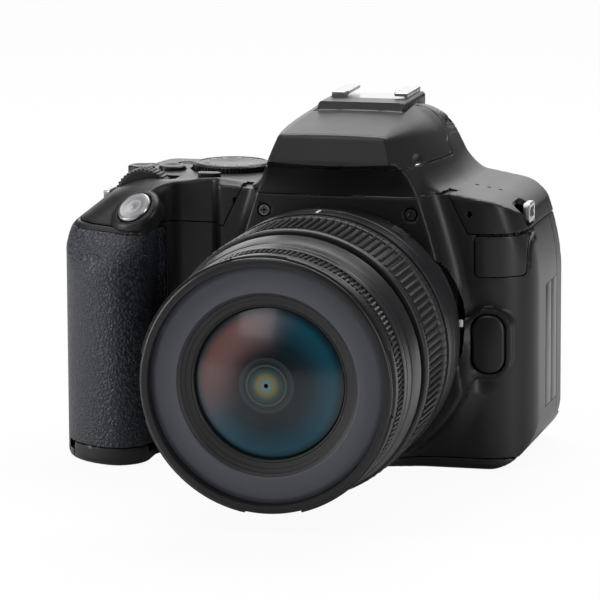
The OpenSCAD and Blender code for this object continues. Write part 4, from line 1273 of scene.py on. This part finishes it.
def make_world(scene):
    """White for the camera and through glass, faint in reflections and as light."""
    world = scene.world = bpy.data.worlds.new("Studio")
    world.use_nodes = True
    t = world.node_tree
    t.nodes.clear()
    dim = node(t, "ShaderNodeBackground", Color=(1, 1, 1, 1), Strength=0.05)
    white = node(t, "ShaderNodeBackground", Color=(1, 1, 1, 1), Strength=1.0)
    path = node(t, "ShaderNodeLightPath").outputs
    glossy = times(t, path["Is Glossy Ray"], 0.06)
    unseen = node(t, "ShaderNodeMath", {0: path["Is Transmission Ray"], 1: glossy}, operation="MAXIMUM")
    seen = node(t, "ShaderNodeMath", {0: path["Is Camera Ray"], 1: unseen.outputs[0]}, operation="MAXIMUM")
    mixer = node(t, "ShaderNodeMixShader", {0: seen.outputs[0], 1: dim.outputs[0], 2: white.outputs[0]})
    node(t, "ShaderNodeOutputWorld", {0: mixer.outputs[0]})


def make_lamps():
    """Soft lamps that all look at the middle of the camera."""
    for name, at, size, watts in (
            ("top_back", (0.05, 0.45, 0.85), (1.0, 0.5), 9.5), ("back", (-0.3, 1.4, 0.4), (1.1, 0.5), 3.6),
            ("top_left", (-0.65, 0.2, 0.85), (0.22, 0.22), 0.7), ("top_front", (-0.25, -0.5, 1.1), (0.4, 0.3), 3.0),
            ("strip_right", (0.85, -0.42, 0.25), (0.16, 0.8), 4.5),
            ("strip_left", (-0.95, -0.35, 0.35), (0.25, 0.7), 6.0), ("fill", (-0.5, -1.3, 0.6), (0.5, 0.4), 1.6)):
        lamp = bpy.data.lights.new(name, "AREA")
        lamp.shape = "RECTANGLE"
        lamp.size, lamp.size_y = size
        lamp.energy = watts
        o = linked(name, lamp)
        o.location = at
        o.visible_camera = False
        o.rotation_euler = (Vector((-0.01, -0.03, 0.045)) - Vector(at)).to_track_quat("-Z", "Y").to_euler()


def make_camera(scene):
    """Long lens at a distance from the point it looks at."""
    target, distance = Vector((-18.02, 0, 37.7)) * MM, 1.1317
    azimuth, elevation, roll = (math.radians(v) for v in (14.09, 10.14, -0.26))
    camera = bpy.data.cameras.new("camera")
    camera.lens = 258.6
    camera.sensor_width = 36.0
    camera.clip_start, camera.clip_end = 0.05, 20.0
    back = Vector((math.sin(azimuth) * math.cos(elevation), -math.cos(azimuth) * math.cos(elevation),
                   math.sin(elevation)))
    right = Vector((math.cos(azimuth), math.sin(azimuth), 0))
    up = back.cross(right)
    right, up = right * math.cos(roll) + up * math.sin(roll), up * math.cos(roll) - right * math.sin(roll)
    scene.camera = linked("camera", camera)
    scene.camera.matrix_world = (Matrix.Translation(target + back * distance)
                                 @ Matrix((right, up, back)).transposed().to_4x4())


class CAMERA_OT_stage(FinishOperator):
    """Pale floor, soft lamps, white surroundings and the camera."""

    bl_idname = "reflex_camera.stage"
    bl_label = "Stage"

    def execute(self, context):
        context.scene.view_settings.view_transform = "Standard"
        make_floor()
        make_world(context.scene)
        make_lamps()
        make_camera(context.scene)
        return {"FINISHED"}


class CAMERA_PT_panel(bpy.types.Panel):
    """Sizes, colours and build steps in the sidebar."""

    bl_label = "Reflex Camera"
    bl_idname = "CAMERA_PT_panel"
    bl_space_type = "VIEW_3D"
    bl_region_type = "UI"
    bl_category = "Reflex Camera"

    def draw(self, context):
        for name in CameraSettings.__annotations__:
            self.layout.prop(context.scene.reflex_camera, name)
        for step in STEPS:
            self.layout.operator(step.bl_idname)


STEPS = (CAMERA_OT_finishes, CAMERA_OT_covers, CAMERA_OT_flash, CAMERA_OT_grip, CAMERA_OT_lens, CAMERA_OT_dials,
         CAMERA_OT_buttons, CAMERA_OT_fittings, CAMERA_OT_stage)
CLASSES = (CameraSettings, CAMERA_PT_panel) + STEPS


def register():
    for cls in CLASSES:
        bpy.utils.register_class(cls)
    bpy.types.Scene.reflex_camera = bpy.props.PointerProperty(type=CameraSettings)


def unregister():
    del bpy.types.Scene.reflex_camera
    for cls in reversed(CLASSES):
        bpy.utils.unregister_class(cls)


def main():
    register()
    for step in STEPS:
        area, name = step.bl_idname.split(".")
        getattr(getattr(bpy.ops, area), name)()


if __name__ == "__main__":
    main()
